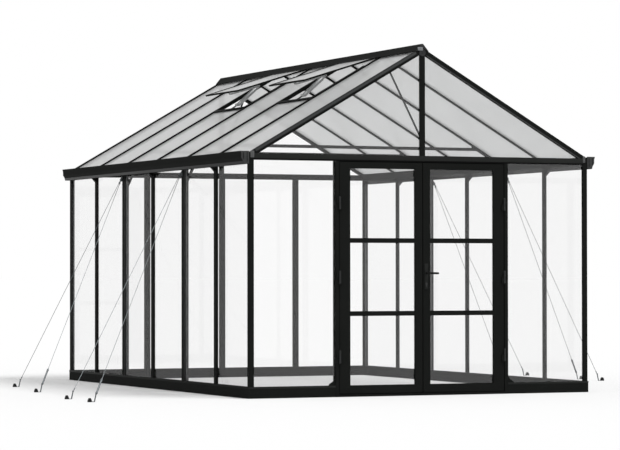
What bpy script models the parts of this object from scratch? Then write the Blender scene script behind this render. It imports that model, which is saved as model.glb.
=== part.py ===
# A walk-in garden greenhouse with a gable roof, in metres, +Z up.
# The front, with its double door, faces -Y.  The origin lies on the ground, in the middle of the
# box that holds the whole object.  Dark aluminium profiles carry clear wall sheets and hazy roof
# sheets.  Two roof vents stand open, two trusses stiffen the roof and taut guy wires hold it down.
import math

import bmesh
import bpy
from mathutils import Vector

# overall sizes
WIDTH = 3.026              # across the outer faces of the side walls
LENGTH = 4.410             # along the outer faces of the end walls
SIDE_BAYS = 6              # bays in a side wall and in each roof slope
END_BAYS = 4               # bays in the back wall
GAP = 0.0003               # seam between pieces that touch
OVERLAP = 0.001            # a form that is joined to a piece reaches this far into it
CLEAR_THROUGH = 0.010      # a cutter runs this far past the faces that it cuts

# perimeter rail on the ground and rail under the eaves
BASE_HEIGHT = 0.091
BASE_DEPTH = 0.045
BASE_PROUD = 0.004         # the base stands this far outside the posts
BEAM_UNDERSIDE = 1.882
BEAM_HEIGHT = 0.052
BEAM_DEPTH = 0.045
BEAM_LIP = 0.004           # the upper part of the end beams stands this far outside the posts
BEAM_LIP_DROP = 0.018      # and stops this far above their undersides
RAIL_WALL = 0.003
RAIL_HEAD = 0.016          # solid head of a rail, where the sheet's groove is cut
GROOVE_DEPTH = 0.012

# sheets
SHEET = 0.004
SHEET_INSET = 0.012        # from the outer face of a wall to the outer face of its sheet

# posts
POST_FACE = 0.045
POST_WEB = 0.012
POST_FOOT = 0.034
SLIM_POST_DEPTH = 0.0215
DEEP_POST_DEPTH = 0.045
CORNER_LEG = 0.040
CORNER_CORE = 0.034
KING_FACE = 0.049
BEVEL = 0.0015

# roof
PITCH = math.radians(30.0)
ROOF_RISE = 0.002          # from the eave rail's top up to the rafters' top line over a side wall
RAFTER_FACE = 0.024
RAFTER_CAP = 0.011
RAFTER_WEB = 0.010
RAFTER_FOOT = 0.020
RAFTER_DEPTH = 0.030
GABLE_RAFTER_DEPTH = 0.041
EAVE_OVERHANG = 0.016      # the roof sheets run this far past the wall into the gutter
CAP_SHORT = 0.004          # the rafters' caps stop this far short of the sheets' lower edge
ROOF_SHEET_HEAD = 0.010    # the roof sheets stop this far from the middle of the ridge
RIDGE_WING = 0.064         # from the ridge down the slope to the hood's foot
RIDGE_SHELL = 0.004
RIDGE_RISE = 0.031         # from the rafters' top line up to the hood's crest
RIDGE_CREST = 0.016

# gutters
GUTTER_REACH = 0.074
GUTTER_DROP = 0.034        # the gutter's floor hangs this far under the eave rail
GUTTER_LIP_RISE = 0.016    # its lip stands this far above the eave rail
GUTTER_WALL = 0.003
GUTTER_FOOT_INSET = 0.028      # the profile's points, in from its reach and up from its floor
GUTTER_KNUCKLE_INSET = 0.024
GUTTER_KNUCKLE_RISE = 0.022
GUTTER_FACE_INSET = 0.008
GUTTER_FACE_RISE = 0.046
GUTTER_FLARE = 0.020           # height of the flared lip

# double door
JAMB_OUTER = 0.771
JAMB_WIDTH = 0.031
JAMB_DEPTH = 0.050
JAMB_PROUD = 0.006
STOP_WIDTH = 0.018
SILL_HEIGHT = 0.018
SILL_PROUD = 0.010
SILL_SET_BACK = 0.002      # the sill's ends and back edge stop this far inside the jambs' faces
SILL_STOP_RISE = 0.014     # the strip behind the leaves' feet stands this far above the sill
DOOR_GAP = 0.006
MEETING_GAP = 0.007
LEAF_DEPTH = 0.036
LEAF_PROUD = 0.003
LEAF_STEP = 0.005          # behind the pane the leaf's bars are this much narrower on each side
OUTER_STILE = 0.092
MEETING_STILE = 0.063
LEAF_TOP_RAIL = 0.052
LEAF_BOTTOM_RAIL = 0.067
GLAZING_BAR = 0.0385
GLAZING_BAR_HEIGHTS = (0.663, 1.248)
HEAD_STOP_DROP = 0.012     # the stop over the doorway hangs this far under the front beam
PANE_REBATE = 0.008
HINGE_HEIGHTS = (0.318, 0.953, 1.547)
HINGE_RADIUS = 0.007
HINGE_LENGTH = 0.094
HINGE_STAND_OFF = 0.0095   # from the leaf's face to the hinge axis
HINGE_PLATE_WIDTH = 0.026

# lever handle on the right leaf
HANDLE_HEIGHT = 0.986
HANDLE_INSET = 0.026       # from the leaf's meeting edge to the spindle
HANDLE_PLATE_WIDTH = 0.030
HANDLE_PLATE_BOTTOM = 0.858
HANDLE_PLATE_TOP = 1.062
HANDLE_PLATE_DEPTH = 0.003
SPINDLE_RADIUS = 0.007
SPINDLE_BORE = 0.0078
LEVER_LENGTH = 0.100
LEVER_HEIGHT = 0.018
LEVER_TIP = 0.004
LEVER_DEPTH = 0.011
LEVER_STAND_OFF = 0.034    # from the leaf's face to the lever's axis

# roof trusses and gable braces
TRUSS_RAFTERS = (2, 4)
TIE_RISE = 0.130           # from the rail under the eaves up to the middle of the tie
TIE_DEPTH = 0.026
TIE_WIDTH = 0.020
KNEE_DROP = 0.321          # from the middle of the tie down to the knee's foot
KNEE_FOOT = 0.048          # height of the knee's foot on the post
KNEE_REACH = 0.110         # from the post to the knee's head under the rafter
KNEE_HEAD = 0.024
KNEE_DOUBLER = 0.012       # height of the strip under the rafter, from the knee to the tie
BRACE_RADIUS = 0.006
BRACE_RISE = 0.130         # from the rail under the eaves up to the foot of the round brace
BRACE_SHOE = 0.010         # half the width of the block at the brace's head
POST_BRACKET_REACH = 0.126     # from the slim post's middle to the tip of the bracket at its head
POST_BRACKET_DROP = 0.060

# roof vents in the left slope
VENT_BAYS = (2, 4)
VENT_SILL = 0.750          # from the ridge down the slope to the middle of the vent's sill bar
VENT_SILL_WIDTH = 0.030
VENT_SILL_WEB = 0.003      # from the bar's middle to the edge of its web, where the sheet ends
VENT_SILL_FLANGE = 0.006
VENT_OPENING_ANGLE = math.radians(12.6)
VENT_HINGE = 0.078         # from the ridge down the slope to the vent's hinge line
VENT_LENGTH = 0.690
VENT_LAP = 0.0105          # the sash runs this far past the middles of its two rafters
VENT_FRAME = 0.017
VENT_DEPTH = 0.014
VENT_LIFT = 0.0003         # seam between the sash and the rafter caps that it leans on
OPENER_BRACKET = 0.095     # from the sill bar up the slope to the foot of the opener's cylinder
OPENER_BRACKET_HALF = 0.007
OPENER_RADIUS = 0.014
OPENER_LENGTH = 0.245
OPENER_HEAD = 0.270        # from the vent's hinge down the sash to the head of its opener
OPENER_ARM = 0.006

# guy wires, and where their stakes stand: out from the wall and along it from their post.
# The first wire of each pair is plain, the second one has the turnbuckle.
GUY_POSTS = (2, 4)
GUY_DROP = 0.066           # from the eave rail's underside down to the wires' upper ends
GUY_FEET = {
    "left_front": ((1.290, -0.936), (1.290, -1.486)),
    "left_rear": ((0.940, 0.060), (1.106, -1.055)),
    "right_front": ((1.290, 0.654), (1.290, 1.047)),
    "right_rear": ((1.290, 0.648), (1.290, 1.097)),
}
WIRE_RADIUS = 0.002
STAKE_HEIGHT = 0.060
STAKE_LEAN = 0.014
STAKE_RADIUS = 0.005
PEG_OFFSET = 0.038
PEG_WIDTH = 0.030
PEG_THICKNESS = 0.020
PEG_HEIGHT = 0.030
PEG_LINK_WIDTH = 0.008
PEG_LINK = 0.004           # height of the flat link between a peg and its stake
TURNBUCKLE_LENGTH = 0.170
TURNBUCKLE_RADIUS = 0.006
EYE_PLATE = 0.006          # thickness of the plate that holds a pair of wires at the wall
EYE_PLATE_DROP = 0.020
EYE_PLATE_RISE = 0.028
EYE_REACH = 0.022          # from the wall to the eye in it
EYE_MARGIN = 0.008         # from the eye to the plate's edge
EYE_PIN_RADIUS = 0.006
EYE_PIN_RISE = 0.012       # the pin through the eye stands this far above and below it

# places that follow from the sizes above
LEAF_FACE = -LEAF_PROUD
HANDLE_REACH = LEAF_PROUD + LEVER_STAND_OFF + LEVER_DEPTH / 2.0
FRONT = -(LENGTH - HANDLE_REACH) / 2.0
BACK = FRONT + LENGTH
HALF = WIDTH / 2.0
SIDE_PITCH = LENGTH / SIDE_BAYS
BEAM_TOP = BEAM_UNDERSIDE + BEAM_HEIGHT
ROOF_TOP_AT_WALL = BEAM_TOP + ROOF_RISE
GUTTER_FLOOR = BEAM_UNDERSIDE - GUTTER_DROP
GUTTER_LIP = BEAM_TOP + GUTTER_LIP_RISE
GUY_TOP = BEAM_UNDERSIDE - GUY_DROP
SLOPE = math.tan(PITCH)
RIDGE_TOP = ROOF_TOP_AT_WALL + HALF * SLOPE
SHEET_BACK = SHEET_INSET + SHEET
TIE_HEIGHT = BEAM_TOP + TIE_RISE
KNEE_FOOT_HEIGHT = TIE_HEIGHT - KNEE_DROP
BRACE_FOOT_HEIGHT = BEAM_TOP + BRACE_RISE
VENT_WIDTH = SIDE_PITCH + 2.0 * VENT_LAP
POST_FOOT_Z = BASE_HEIGHT + GAP
POST_HEAD_Z = BEAM_UNDERSIDE - GAP
SHEET_FOOT_Z = BASE_HEIGHT - GROOVE_DEPTH + GAP
ROOF_SHEET_H = RAFTER_CAP + GAP

BLACK = (0.012, 0.013, 0.012)
GREY = (0.30, 0.31, 0.31)
CLEAR = (0.90, 0.92, 0.92)
HAZY = (0.62, 0.63, 0.63)


def remove_everything():
    for thing in list(bpy.data.objects):
        bpy.data.objects.remove(thing, do_unlink=True)


def material(name, colour, roughness, metallic, transmission=0.0):
    made = bpy.data.materials.get(name)
    if made is None:
        made = bpy.data.materials.new(name)
        made.use_nodes = True
        shader = made.node_tree.nodes["Principled BSDF"]
        shader.inputs["Base Color"].default_value = (*colour, 1.0)
        shader.inputs["Roughness"].default_value = roughness
        shader.inputs["Metallic"].default_value = metallic
        shader.inputs["Transmission Weight"].default_value = transmission
        made.diffuse_color = (*colour, 1.0)
    return made


def frame_paint():
    return material("black_frame_paint", BLACK, 0.42, 0.0)


def grey_metal():
    return material("grey_galvanised", GREY, 0.45, 0.9)


def clear_sheet():
    return material("clear_sheet", CLEAR, 0.05, 0.0, 0.95)


def hazy_sheet():
    return material("hazy_sheet", HAZY, 0.35, 0.0, 0.7)


def make_object(name, mesh, finish, parent=None):
    thing = bpy.data.objects.new(name, mesh)
    thing.data.materials.append(finish)
    bpy.context.scene.collection.objects.link(thing)
    if parent is not None:
        thing.parent = parent
        thing.matrix_parent_inverse = parent.matrix_world.inverted()
    return thing


def mesh_from(bm, name):
    bmesh.ops.recalc_face_normals(bm, faces=bm.faces)
    mesh = bpy.data.meshes.new(name)
    bm.to_mesh(mesh)
    bm.free()
    return mesh


def swept(bm, outline, stations):
    """Joins copies of one outline, each placed by a station, into a closed body."""
    loops = []
    for place in stations:
        loops.append([bm.verts.new(place(a, b)) for a, b in outline])
    count = len(outline)
    for near, far in zip(loops, loops[1:]):
        for i in range(count):
            j = (i + 1) % count
            bm.faces.new((near[i], near[j], far[j], far[i]))
    bm.faces.new(loops[0])
    bm.faces.new(list(reversed(loops[-1])))


def sweep_mesh(name, outline, stations):
    bm = bmesh.new()
    swept(bm, outline, stations)
    return mesh_from(bm, name)


def box_mesh(name, low, high):
    outline = [(low[0], low[1]), (high[0], low[1]), (high[0], high[1]), (low[0], high[1])]
    return sweep_mesh(name, outline, [
        lambda a, b: Vector((a, b, low[2])),
        lambda a, b: Vector((a, b, high[2])),
    ])


def rod_mesh(name, start, end, radius, sides):
    """A straight round rod between two points."""
    start = Vector(start)
    end = Vector(end)
    along = (end - start).normalized()
    side = along.orthogonal().normalized()
    up = along.cross(side)
    turn = 2.0 * math.pi / sides
    outline = []
    for i in range(sides):
        outline.append((radius * math.cos(i * turn), radius * math.sin(i * turn)))
    return sweep_mesh(name, outline, [
        lambda a, b: start + side * a + up * b,
        lambda a, b: end + side * a + up * b,
    ])


def cutter(name, mesh):
    tool = bpy.data.objects.new(name, mesh)
    bpy.context.scene.collection.objects.link(tool)
    tool.hide_render = True
    tool.display_type = "WIRE"
    return tool


def boolean(thing, mesh, operation):
    """Adds a mesh to a body or cuts it away."""
    tool = cutter(thing.name + "_tool", mesh)
    tool.parent = thing.parent
    if thing.parent is not None:
        tool.matrix_parent_inverse = thing.parent.matrix_world.inverted()
    step = thing.modifiers.new(operation.lower(), "BOOLEAN")
    step.operation = operation
    step.object = tool
    step.solver = "EXACT"
    return step


def fuse(thing, mesh):
    return boolean(thing, mesh, "UNION")


def cut(thing, mesh):
    return boolean(thing, mesh, "DIFFERENCE")


def wall_places():
    """For each wall: a point at distance s along it, depth d behind its outer face, height z."""
    return {
        "left": lambda s, d, z: Vector((-HALF + d, FRONT + s, z)),
        "right": lambda s, d, z: Vector((HALF - d, FRONT + s, z)),
        "front": lambda s, d, z: Vector((-HALF + s, FRONT + d, z)),
        "back": lambda s, d, z: Vector((-HALF + s, BACK - d, z)),
    }


def rail_outline(height, depth, proud):
    """A channel open to the inside, with a groove for a sheet in its solid head."""
    front = -proud
    return [
        (front, 0.0),
        (depth, 0.0),
        (depth, 3.0 * RAIL_WALL),
        (depth - RAIL_WALL, 3.0 * RAIL_WALL),
        (depth - RAIL_WALL, RAIL_WALL),
        (front + RAIL_WALL, RAIL_WALL),
        (front + RAIL_WALL, height - RAIL_HEAD),
        (depth, height - RAIL_HEAD),
        (depth, height),
        (SHEET_BACK + GAP, height),
        (SHEET_BACK + GAP, height - GROOVE_DEPTH),
        (SHEET_INSET - GAP, height - GROOVE_DEPTH),
        (SHEET_INSET - GAP, height),
        (front, height),
    ]


def post_outline(depth, face=POST_FACE):
    """Cap outside the sheet, web through it and foot inside; a deep post's foot is full width."""
    cap = SHEET_INSET - GAP
    foot = SHEET_BACK + GAP
    half = face / 2.0
    foot_half = half if depth > SLIM_POST_DEPTH else POST_FOOT / 2.0
    right = [
        (half - BEVEL, 0.0),
        (half, BEVEL),
        (half, cap),
        (POST_WEB / 2.0, cap),
        (POST_WEB / 2.0, foot),
        (foot_half, foot),
        (foot_half, depth),
    ]
    left = [(-s, d) for s, d in reversed(right)]
    return right + left


def upright(name, wall, s, depth, low, high, face=POST_FACE):
    place = wall_places()[wall]
    mesh = sweep_mesh(name, post_outline(depth, face), [
        lambda a, b: place(s + a, b, low),
        lambda a, b: place(s + a, b, high),
    ])
    return make_object(name, mesh, frame_paint())


def roof_z(x, h):
    """Height of the layer that lies h below the rafters' top line, at distance x from the middle."""
    return RIDGE_TOP - abs(x) * SLOPE - h / math.cos(PITCH)


def build_base():
    places = wall_places()
    outline = rail_outline(BASE_HEIGHT, BASE_DEPTH, BASE_PROUD)
    closed = [(-BASE_PROUD, 0.0), (BASE_DEPTH, 0.0), (BASE_DEPTH, BASE_HEIGHT),
              (-BASE_PROUD, BASE_HEIGHT)]
    for wall in ("left", "right"):
        place = places[wall]
        mesh = sweep_mesh("base_" + wall, outline, [
            lambda a, b: place(-BASE_PROUD, a, b),
            lambda a, b: place(LENGTH, a, b),
        ])
        rail = make_object("base_" + wall, mesh, frame_paint())
        for start in (-BASE_PROUD, LENGTH - RAIL_WALL):
            fuse(rail, sweep_mesh("end_plate", closed, [
                lambda a, b: place(start, a, b),
                lambda a, b: place(start + RAIL_WALL, a, b),
            ]))
    place = places["back"]
    start = BASE_DEPTH + GAP
    back_outline = rail_outline(BASE_HEIGHT, BASE_DEPTH, 0.0)
    mesh = sweep_mesh("base_back", back_outline, [
        lambda a, b: place(start, a, b),
        lambda a, b: place(WIDTH - start, a, b),
    ])
    make_object("base_back", mesh, frame_paint())


def build_front_base_frame():
    """Two short base rails, the door sill between them and the door's two jambs."""
    place = wall_places()["front"]
    outline = rail_outline(BASE_HEIGHT, BASE_DEPTH, BASE_PROUD)
    start = BASE_DEPTH + GAP
    jamb_side = HALF - JAMB_OUTER
    inner = JAMB_OUTER - JAMB_WIDTH
    mesh = sweep_mesh("front_base_frame", outline, [
        lambda a, b: place(start, a, b),
        lambda a, b: place(jamb_side + JAMB_WIDTH / 2.0, a, b),
    ])
    frame = make_object("front_base_frame", mesh, frame_paint())
    fuse(frame, sweep_mesh("rail", outline, [
        lambda a, b: place(WIDTH - jamb_side - JAMB_WIDTH / 2.0, a, b),
        lambda a, b: place(WIDTH - start, a, b),
    ]))
    fuse(frame, box_mesh("sill", (-JAMB_OUTER + SILL_SET_BACK, FRONT - SILL_PROUD, 0.0),
                         (JAMB_OUTER - SILL_SET_BACK, FRONT + JAMB_DEPTH - SILL_SET_BACK,
                          SILL_HEIGHT)))
    stop_front = LEAF_DEPTH - LEAF_PROUD + DOOR_GAP
    fuse(frame, box_mesh("sill_stop", (-inner, FRONT + stop_front, SILL_HEIGHT - OVERLAP),
                         (inner, FRONT + JAMB_DEPTH - 2.0 * SILL_SET_BACK,
                          SILL_HEIGHT + SILL_STOP_RISE)))
    for side in (-1.0, 1.0):
        stop_back = JAMB_DEPTH
        jamb = [
            (JAMB_OUTER, -JAMB_PROUD),
            (JAMB_OUTER, stop_back),
            (inner - STOP_WIDTH, stop_back),
            (inner - STOP_WIDTH, stop_front),
            (inner, stop_front),
            (inner, -JAMB_PROUD),
        ]
        fuse(frame, sweep_mesh("jamb", jamb, [
            lambda a, b: Vector((side * a, FRONT + b, 0.0)),
            lambda a, b: Vector((side * a, FRONT + b, POST_HEAD_Z)),
        ]))
        axis_x = side * (inner - DOOR_GAP / 2.0)
        axis_y = FRONT + LEAF_FACE - HINGE_STAND_OFF
        for height in HINGE_HEIGHTS:
            low = height + GAP
            high = height + HINGE_LENGTH / 2.0
            fuse(frame, rod_mesh("barrel", (axis_x, axis_y, low), (axis_x, axis_y, high),
                                 HINGE_RADIUS, 12))
            edges = sorted((axis_x, axis_x + side * HINGE_PLATE_WIDTH))
            fuse(frame, box_mesh("wing", (edges[0], axis_y, low),
                                 (edges[1], FRONT - JAMB_PROUD + OVERLAP, high)))
    return frame


def build_corner_posts():
    leg = CORNER_LEG
    core = CORNER_CORE
    cap = SHEET_INSET - GAP
    outline = [
        (BEVEL, 0.0), (leg, 0.0), (leg, cap), (core, cap),
        (core, core), (cap, core), (cap, leg), (0.0, leg), (0.0, BEVEL),
    ]
    corners = {
        "corner_post_front_left": (-HALF, FRONT, 1.0, 1.0),
        "corner_post_front_right": (HALF, FRONT, -1.0, 1.0),
        "corner_post_back_left": (-HALF, BACK, 1.0, -1.0),
        "corner_post_back_right": (HALF, BACK, -1.0, -1.0),
    }
    for name, (x, y, across, along) in corners.items():
        mesh = sweep_mesh(name, outline, [
            lambda a, b: Vector((x + across * a, y + along * b, POST_FOOT_Z)),
            lambda a, b: Vector((x + across * a, y + along * b, POST_HEAD_Z)),
        ])
        make_object(name, mesh, frame_paint())


def build_wall_posts():
    for wall, toward in (("left", 1.0), ("right", -1.0)):
        place = wall_places()[wall]
        for number in range(1, SIDE_BAYS):
            deep = number in TRUSS_RAFTERS
            depth = DEEP_POST_DEPTH if deep else SLIM_POST_DEPTH
            s = number * SIDE_PITCH
            post = upright("%s_post_%d" % (wall, number), wall, s, depth, POST_FOOT_Z, POST_HEAD_Z)
            if not deep and number < SIDE_BAYS - 1:
                reach = toward * POST_BRACKET_REACH
                start = toward * (POST_FOOT / 2.0 - OVERLAP)
                near = SHEET_BACK + GAP + OVERLAP
                far = SLIM_POST_DEPTH - OVERLAP
                gusset = [(start, POST_HEAD_Z), (reach, POST_HEAD_Z),
                          (start, POST_HEAD_Z - POST_BRACKET_DROP)]
                fuse(post, sweep_mesh("gusset", gusset, [
                    lambda a, b: place(s + a, near, b),
                    lambda a, b: place(s + a, far, b),
                ]))
    for number in range(1, END_BAYS):
        upright("back_post_%d" % number, "back", number * WIDTH / END_BAYS, DEEP_POST_DEPTH,
                POST_FOOT_Z, POST_HEAD_Z)


def build_gutters():
    """Gutter and eave rail are one profile: the rail over the posts and the trough outside them."""
    t = GUTTER_WALL
    inner = BEAM_DEPTH
    out = HALF + GAP
    reach = HALF + GUTTER_REACH
    face = reach - GUTTER_FACE_INSET
    bend = GUTTER_WALL / 3.0
    floor = GUTTER_FLOOR
    wall_x = HALF - inner
    under_sheet = ROOF_SHEET_H + SHEET + GAP

    def top(x):
        return roof_z(x, under_sheet)

    outline = [
        (wall_x, BEAM_UNDERSIDE),
        (out, BEAM_UNDERSIDE),
        (out, floor),
        (reach - GUTTER_FOOT_INSET, floor),
        (reach - GUTTER_KNUCKLE_INSET, floor + GUTTER_KNUCKLE_RISE),
        (face, floor + GUTTER_FACE_RISE),
        (face, GUTTER_LIP - GUTTER_FLARE),
        (reach, GUTTER_LIP - t),
        (reach - 2.0 * bend, GUTTER_LIP),
        (face - t, GUTTER_LIP - GUTTER_FLARE + bend),
        (face - t, floor + GUTTER_FACE_RISE + bend),
        (reach - GUTTER_KNUCKLE_INSET - t, floor + GUTTER_KNUCKLE_RISE + 2.0 * bend),
        (reach - GUTTER_FOOT_INSET - t, floor + t),
        (out + t, floor + t),
        (out + t, top(out + t)),
        (wall_x, top(wall_x)),
    ]
    for side, name in ((-1.0, "gutter_left"), (1.0, "gutter_right")):
        mesh = sweep_mesh(name, outline, [
            lambda a, b: Vector((side * a, FRONT, b)),
            lambda a, b: Vector((side * a, BACK, b)),
        ])
        gutter = make_object(name, mesh, frame_paint())
        cap = outline[1:9] + [(out, GUTTER_LIP)]
        for y in (FRONT, BACK - t):
            fuse(gutter, sweep_mesh("end_cap", cap, [
                lambda a, b: Vector((side * a, y, b)),
                lambda a, b: Vector((side * a, y + t, b)),
            ]))


def build_gable_frames():
    """Eave rail of an end wall, its king post and the brace from its foot up to the ridge."""
    start = BEAM_DEPTH + GAP
    outline = rail_outline(BEAM_HEIGHT, BEAM_DEPTH, 0.0)
    for wall, forward in (("front", 1.0), ("back", -1.0)):
        place = wall_places()[wall]
        name = wall + "_beam"
        mesh = sweep_mesh(name, outline, [
            lambda a, b: place(start, a, BEAM_UNDERSIDE + b),
            lambda a, b: place(WIDTH - start, a, BEAM_UNDERSIDE + b),
        ])
        beam = make_object(name, mesh, frame_paint())
        king_top = roof_z(KING_FACE / 2.0, GABLE_RAFTER_DEPTH + GAP)
        fuse(beam, sweep_mesh("king_post", post_outline(SLIM_POST_DEPTH, KING_FACE), [
            lambda a, b: place(HALF + a, b, BEAM_TOP - RAIL_WALL),
            lambda a, b: place(HALF + a, b, king_top),
        ]))
        half = KING_FACE / 2.0 - OVERLAP
        under = GABLE_RAFTER_DEPTH + GAP
        point = [(-half, king_top - OVERLAP), (half, king_top - OVERLAP), (half, roof_z(half, under)),
                 (0.0, roof_z(0.0, under)), (-half, roof_z(half, under))]
        fuse(beam, sweep_mesh("king_point", point, [
            lambda a, b: place(HALF + a, OVERLAP, b),
            lambda a, b: place(HALF + a, SHEET_INSET - GAP - OVERLAP, b),
        ]))
        if wall == "front":
            fuse_lip(beam, start)
            fuse_head_stop(beam)
        foot = place(HALF, SLIM_POST_DEPTH - BRACE_RADIUS, BRACE_FOOT_HEIGHT)
        head = place(HALF, SIDE_PITCH, roof_z(0.0, RAFTER_DEPTH) - 2.0 * BRACE_RADIUS)
        fuse(beam, rod_mesh("brace", foot, head, BRACE_RADIUS, 8))
        shoe = roof_z(RAFTER_FOOT / 2.0, RAFTER_DEPTH + GAP)
        fuse(beam, box_mesh("shoe", (-BRACE_SHOE, head.y - BRACE_SHOE, head.z - BRACE_SHOE),
                            (BRACE_SHOE, head.y + BRACE_SHOE, shoe)))


def fuse_lip(beam, start):
    """The lip over the doorway, which runs on in front of the gutters' ends."""
    place = wall_places()["front"]
    low = BEAM_UNDERSIDE + BEAM_LIP_DROP
    for edge, behind in ((0.0, -GAP), (start, OVERLAP)):
        lip = [(-BEAM_LIP, low), (behind, low), (behind, BEAM_TOP), (-BEAM_LIP, BEAM_TOP)]
        fuse(beam, sweep_mesh("lip", lip, [
            lambda a, b: place(edge, a, b),
            lambda a, b: place(WIDTH - edge, a, b),
        ]))


def fuse_head_stop(beam):
    """The strip behind the leaves' heads, from jamb to jamb."""
    half = JAMB_OUTER - JAMB_WIDTH - STOP_WIDTH - GAP
    near = FRONT + LEAF_DEPTH - LEAF_PROUD + DOOR_GAP
    fuse(beam, box_mesh("head_stop", (-half, near, BEAM_UNDERSIDE - HEAD_STOP_DROP),
                        (half, FRONT + BEAM_DEPTH - OVERLAP, BEAM_UNDERSIDE + RAIL_WALL)))


def rafter_stem(depth):
    """Web and foot of a rafter, from inside its cap down."""
    web = RAFTER_WEB / 2.0
    foot = RAFTER_FOOT / 2.0
    under = ROOF_SHEET_H + SHEET + GAP
    right = [
        (web, RAFTER_CAP / 2.0),
        (web, under),
        (foot, under),
        (foot, depth),
    ]
    return right + [(-y, h) for y, h in reversed(right)]


def build_rafters():
    """Each rafter pair meets at the ridge; its caps run on over the eave rails."""
    rail_side = HALF - BEAM_DEPTH - GAP
    for number in range(SIDE_BAYS + 1):
        edge = number in (0, SIDE_BAYS)
        depth = GABLE_RAFTER_DEPTH if edge else RAFTER_DEPTH
        end = HALF if edge else HALF + EAVE_OVERHANG - CAP_SHORT
        name = "rafter_%d" % number
        if edge:
            inward = 1.0 if number == 0 else -1.0
            y = FRONT if number == 0 else BACK
            cap = [(0.0, 0.0), (CORNER_LEG, 0.0), (CORNER_LEG, RAFTER_CAP), (0.0, RAFTER_CAP)]
            stem = [(0.0, RAFTER_CAP / 2.0), (CORNER_CORE, RAFTER_CAP / 2.0),
                    (CORNER_CORE, depth), (0.0, depth)]
            cap = [(inward * a, b) for a, b in cap]
            stem = [(inward * a, b) for a, b in stem]
        else:
            y = FRONT + number * SIDE_PITCH
            half = RAFTER_FACE / 2.0
            cap = [(-half, 0.0), (half, 0.0), (half, RAFTER_CAP), (-half, RAFTER_CAP)]
            stem = rafter_stem(depth)
        mesh = sweep_mesh(name, cap, [
            lambda a, b: Vector((-end, y + a, roof_z(end, b))),
            lambda a, b: Vector((0.0, y + a, roof_z(0.0, b))),
            lambda a, b: Vector((end, y + a, roof_z(end, b))),
        ])
        rafter = make_object(name, mesh, frame_paint())
        fuse(rafter, sweep_mesh("stem", stem, [
            lambda a, b: Vector((-rail_side, y + a, roof_z(rail_side, b))),
            lambda a, b: Vector((0.0, y + a, roof_z(0.0, b))),
            lambda a, b: Vector((rail_side, y + a, roof_z(rail_side, b))),
        ]))
        if edge:
            ends = sorted((y - inward * CLEAR_THROUGH, y + inward * 2.0 * CORNER_LEG))
            cut(rafter, box_mesh("seat", (-HALF, ends[0], BEAM_UNDERSIDE),
                                 (HALF, ends[1], BEAM_TOP + GAP)))


def build_ridge():
    """A hollow hood that stands on the rafters' heads, with a plate over each end."""
    t = RIDGE_SHELL
    wing = RIDGE_WING * math.cos(PITCH)
    half = RIDGE_CREST / 2.0
    crest = RIDGE_TOP + RIDGE_RISE

    def at(x, h):
        return (x, roof_z(x, -h))

    hood = [at(-wing, GAP), at(-wing, GAP + t), (-half, crest - BEVEL), (BEVEL - half, crest),
            (half - BEVEL, crest), (half, crest - BEVEL), at(wing, GAP + t), at(wing, GAP)]
    foot = wing - 1.5 * t
    hollow = [at(foot, GAP), (half - t / 2.0, crest - t), (t / 2.0 - half, crest - t),
              at(-foot, GAP)]
    mesh = sweep_mesh("ridge", hood + hollow, [
        lambda a, b: Vector((a, FRONT, b)),
        lambda a, b: Vector((a, BACK, b)),
    ])
    ridge = make_object("ridge", mesh, frame_paint())
    for y in (FRONT, BACK - t):
        fuse(ridge, sweep_mesh("end_plate", hood + [at(0.0, GAP)], [
            lambda a, b: Vector((a, y, b)),
            lambda a, b: Vector((a, y + t, b)),
        ]))


def build_trusses():
    """A level tie between the slopes, with a knee from each end of it down to the deep posts."""
    for number, name in zip(TRUSS_RAFTERS, ("truss_front", "truss_rear")):
        y = FRONT + number * SIDE_PITCH
        under = RAFTER_DEPTH + GAP
        low = TIE_HEIGHT - TIE_DEPTH / 2.0
        high = TIE_HEIGHT + TIE_DEPTH / 2.0
        post_face = HALF - max(DEEP_POST_DEPTH, BEAM_DEPTH) - GAP
        reach = min((roof_z(0.0, under) - high) / SLOPE, post_face)
        lower_reach = min((roof_z(0.0, under) - low) / SLOPE, post_face)
        tie = [(-lower_reach, low), (lower_reach, low), (reach, high), (-reach, high)]
        mesh = sweep_mesh(name, tie, [
            lambda a, b: Vector((a, y - TIE_WIDTH / 2.0, b)),
            lambda a, b: Vector((a, y + TIE_WIDTH / 2.0, b)),
        ])
        truss = make_object(name, mesh, frame_paint())
        head_in = post_face - KNEE_REACH
        head_out = head_in + KNEE_HEAD
        doubler_end = min(reach, head_in) - KNEE_HEAD
        half = TIE_WIDTH / 2.0 - OVERLAP
        for side in (-1.0, 1.0):
            knee = [
                (post_face, KNEE_FOOT_HEIGHT),
                (post_face, KNEE_FOOT_HEIGHT + KNEE_FOOT),
                (head_out, roof_z(head_out, under)),
                (doubler_end, roof_z(doubler_end, under)),
                (doubler_end, roof_z(doubler_end, under) - KNEE_DOUBLER),
                (head_in, roof_z(head_in, under) - KNEE_DOUBLER),
            ]
            fuse(truss, sweep_mesh("knee", knee, [
                lambda a, b: Vector((side * a, y - half, b)),
                lambda a, b: Vector((side * a, y + half, b)),
            ]))


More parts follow.
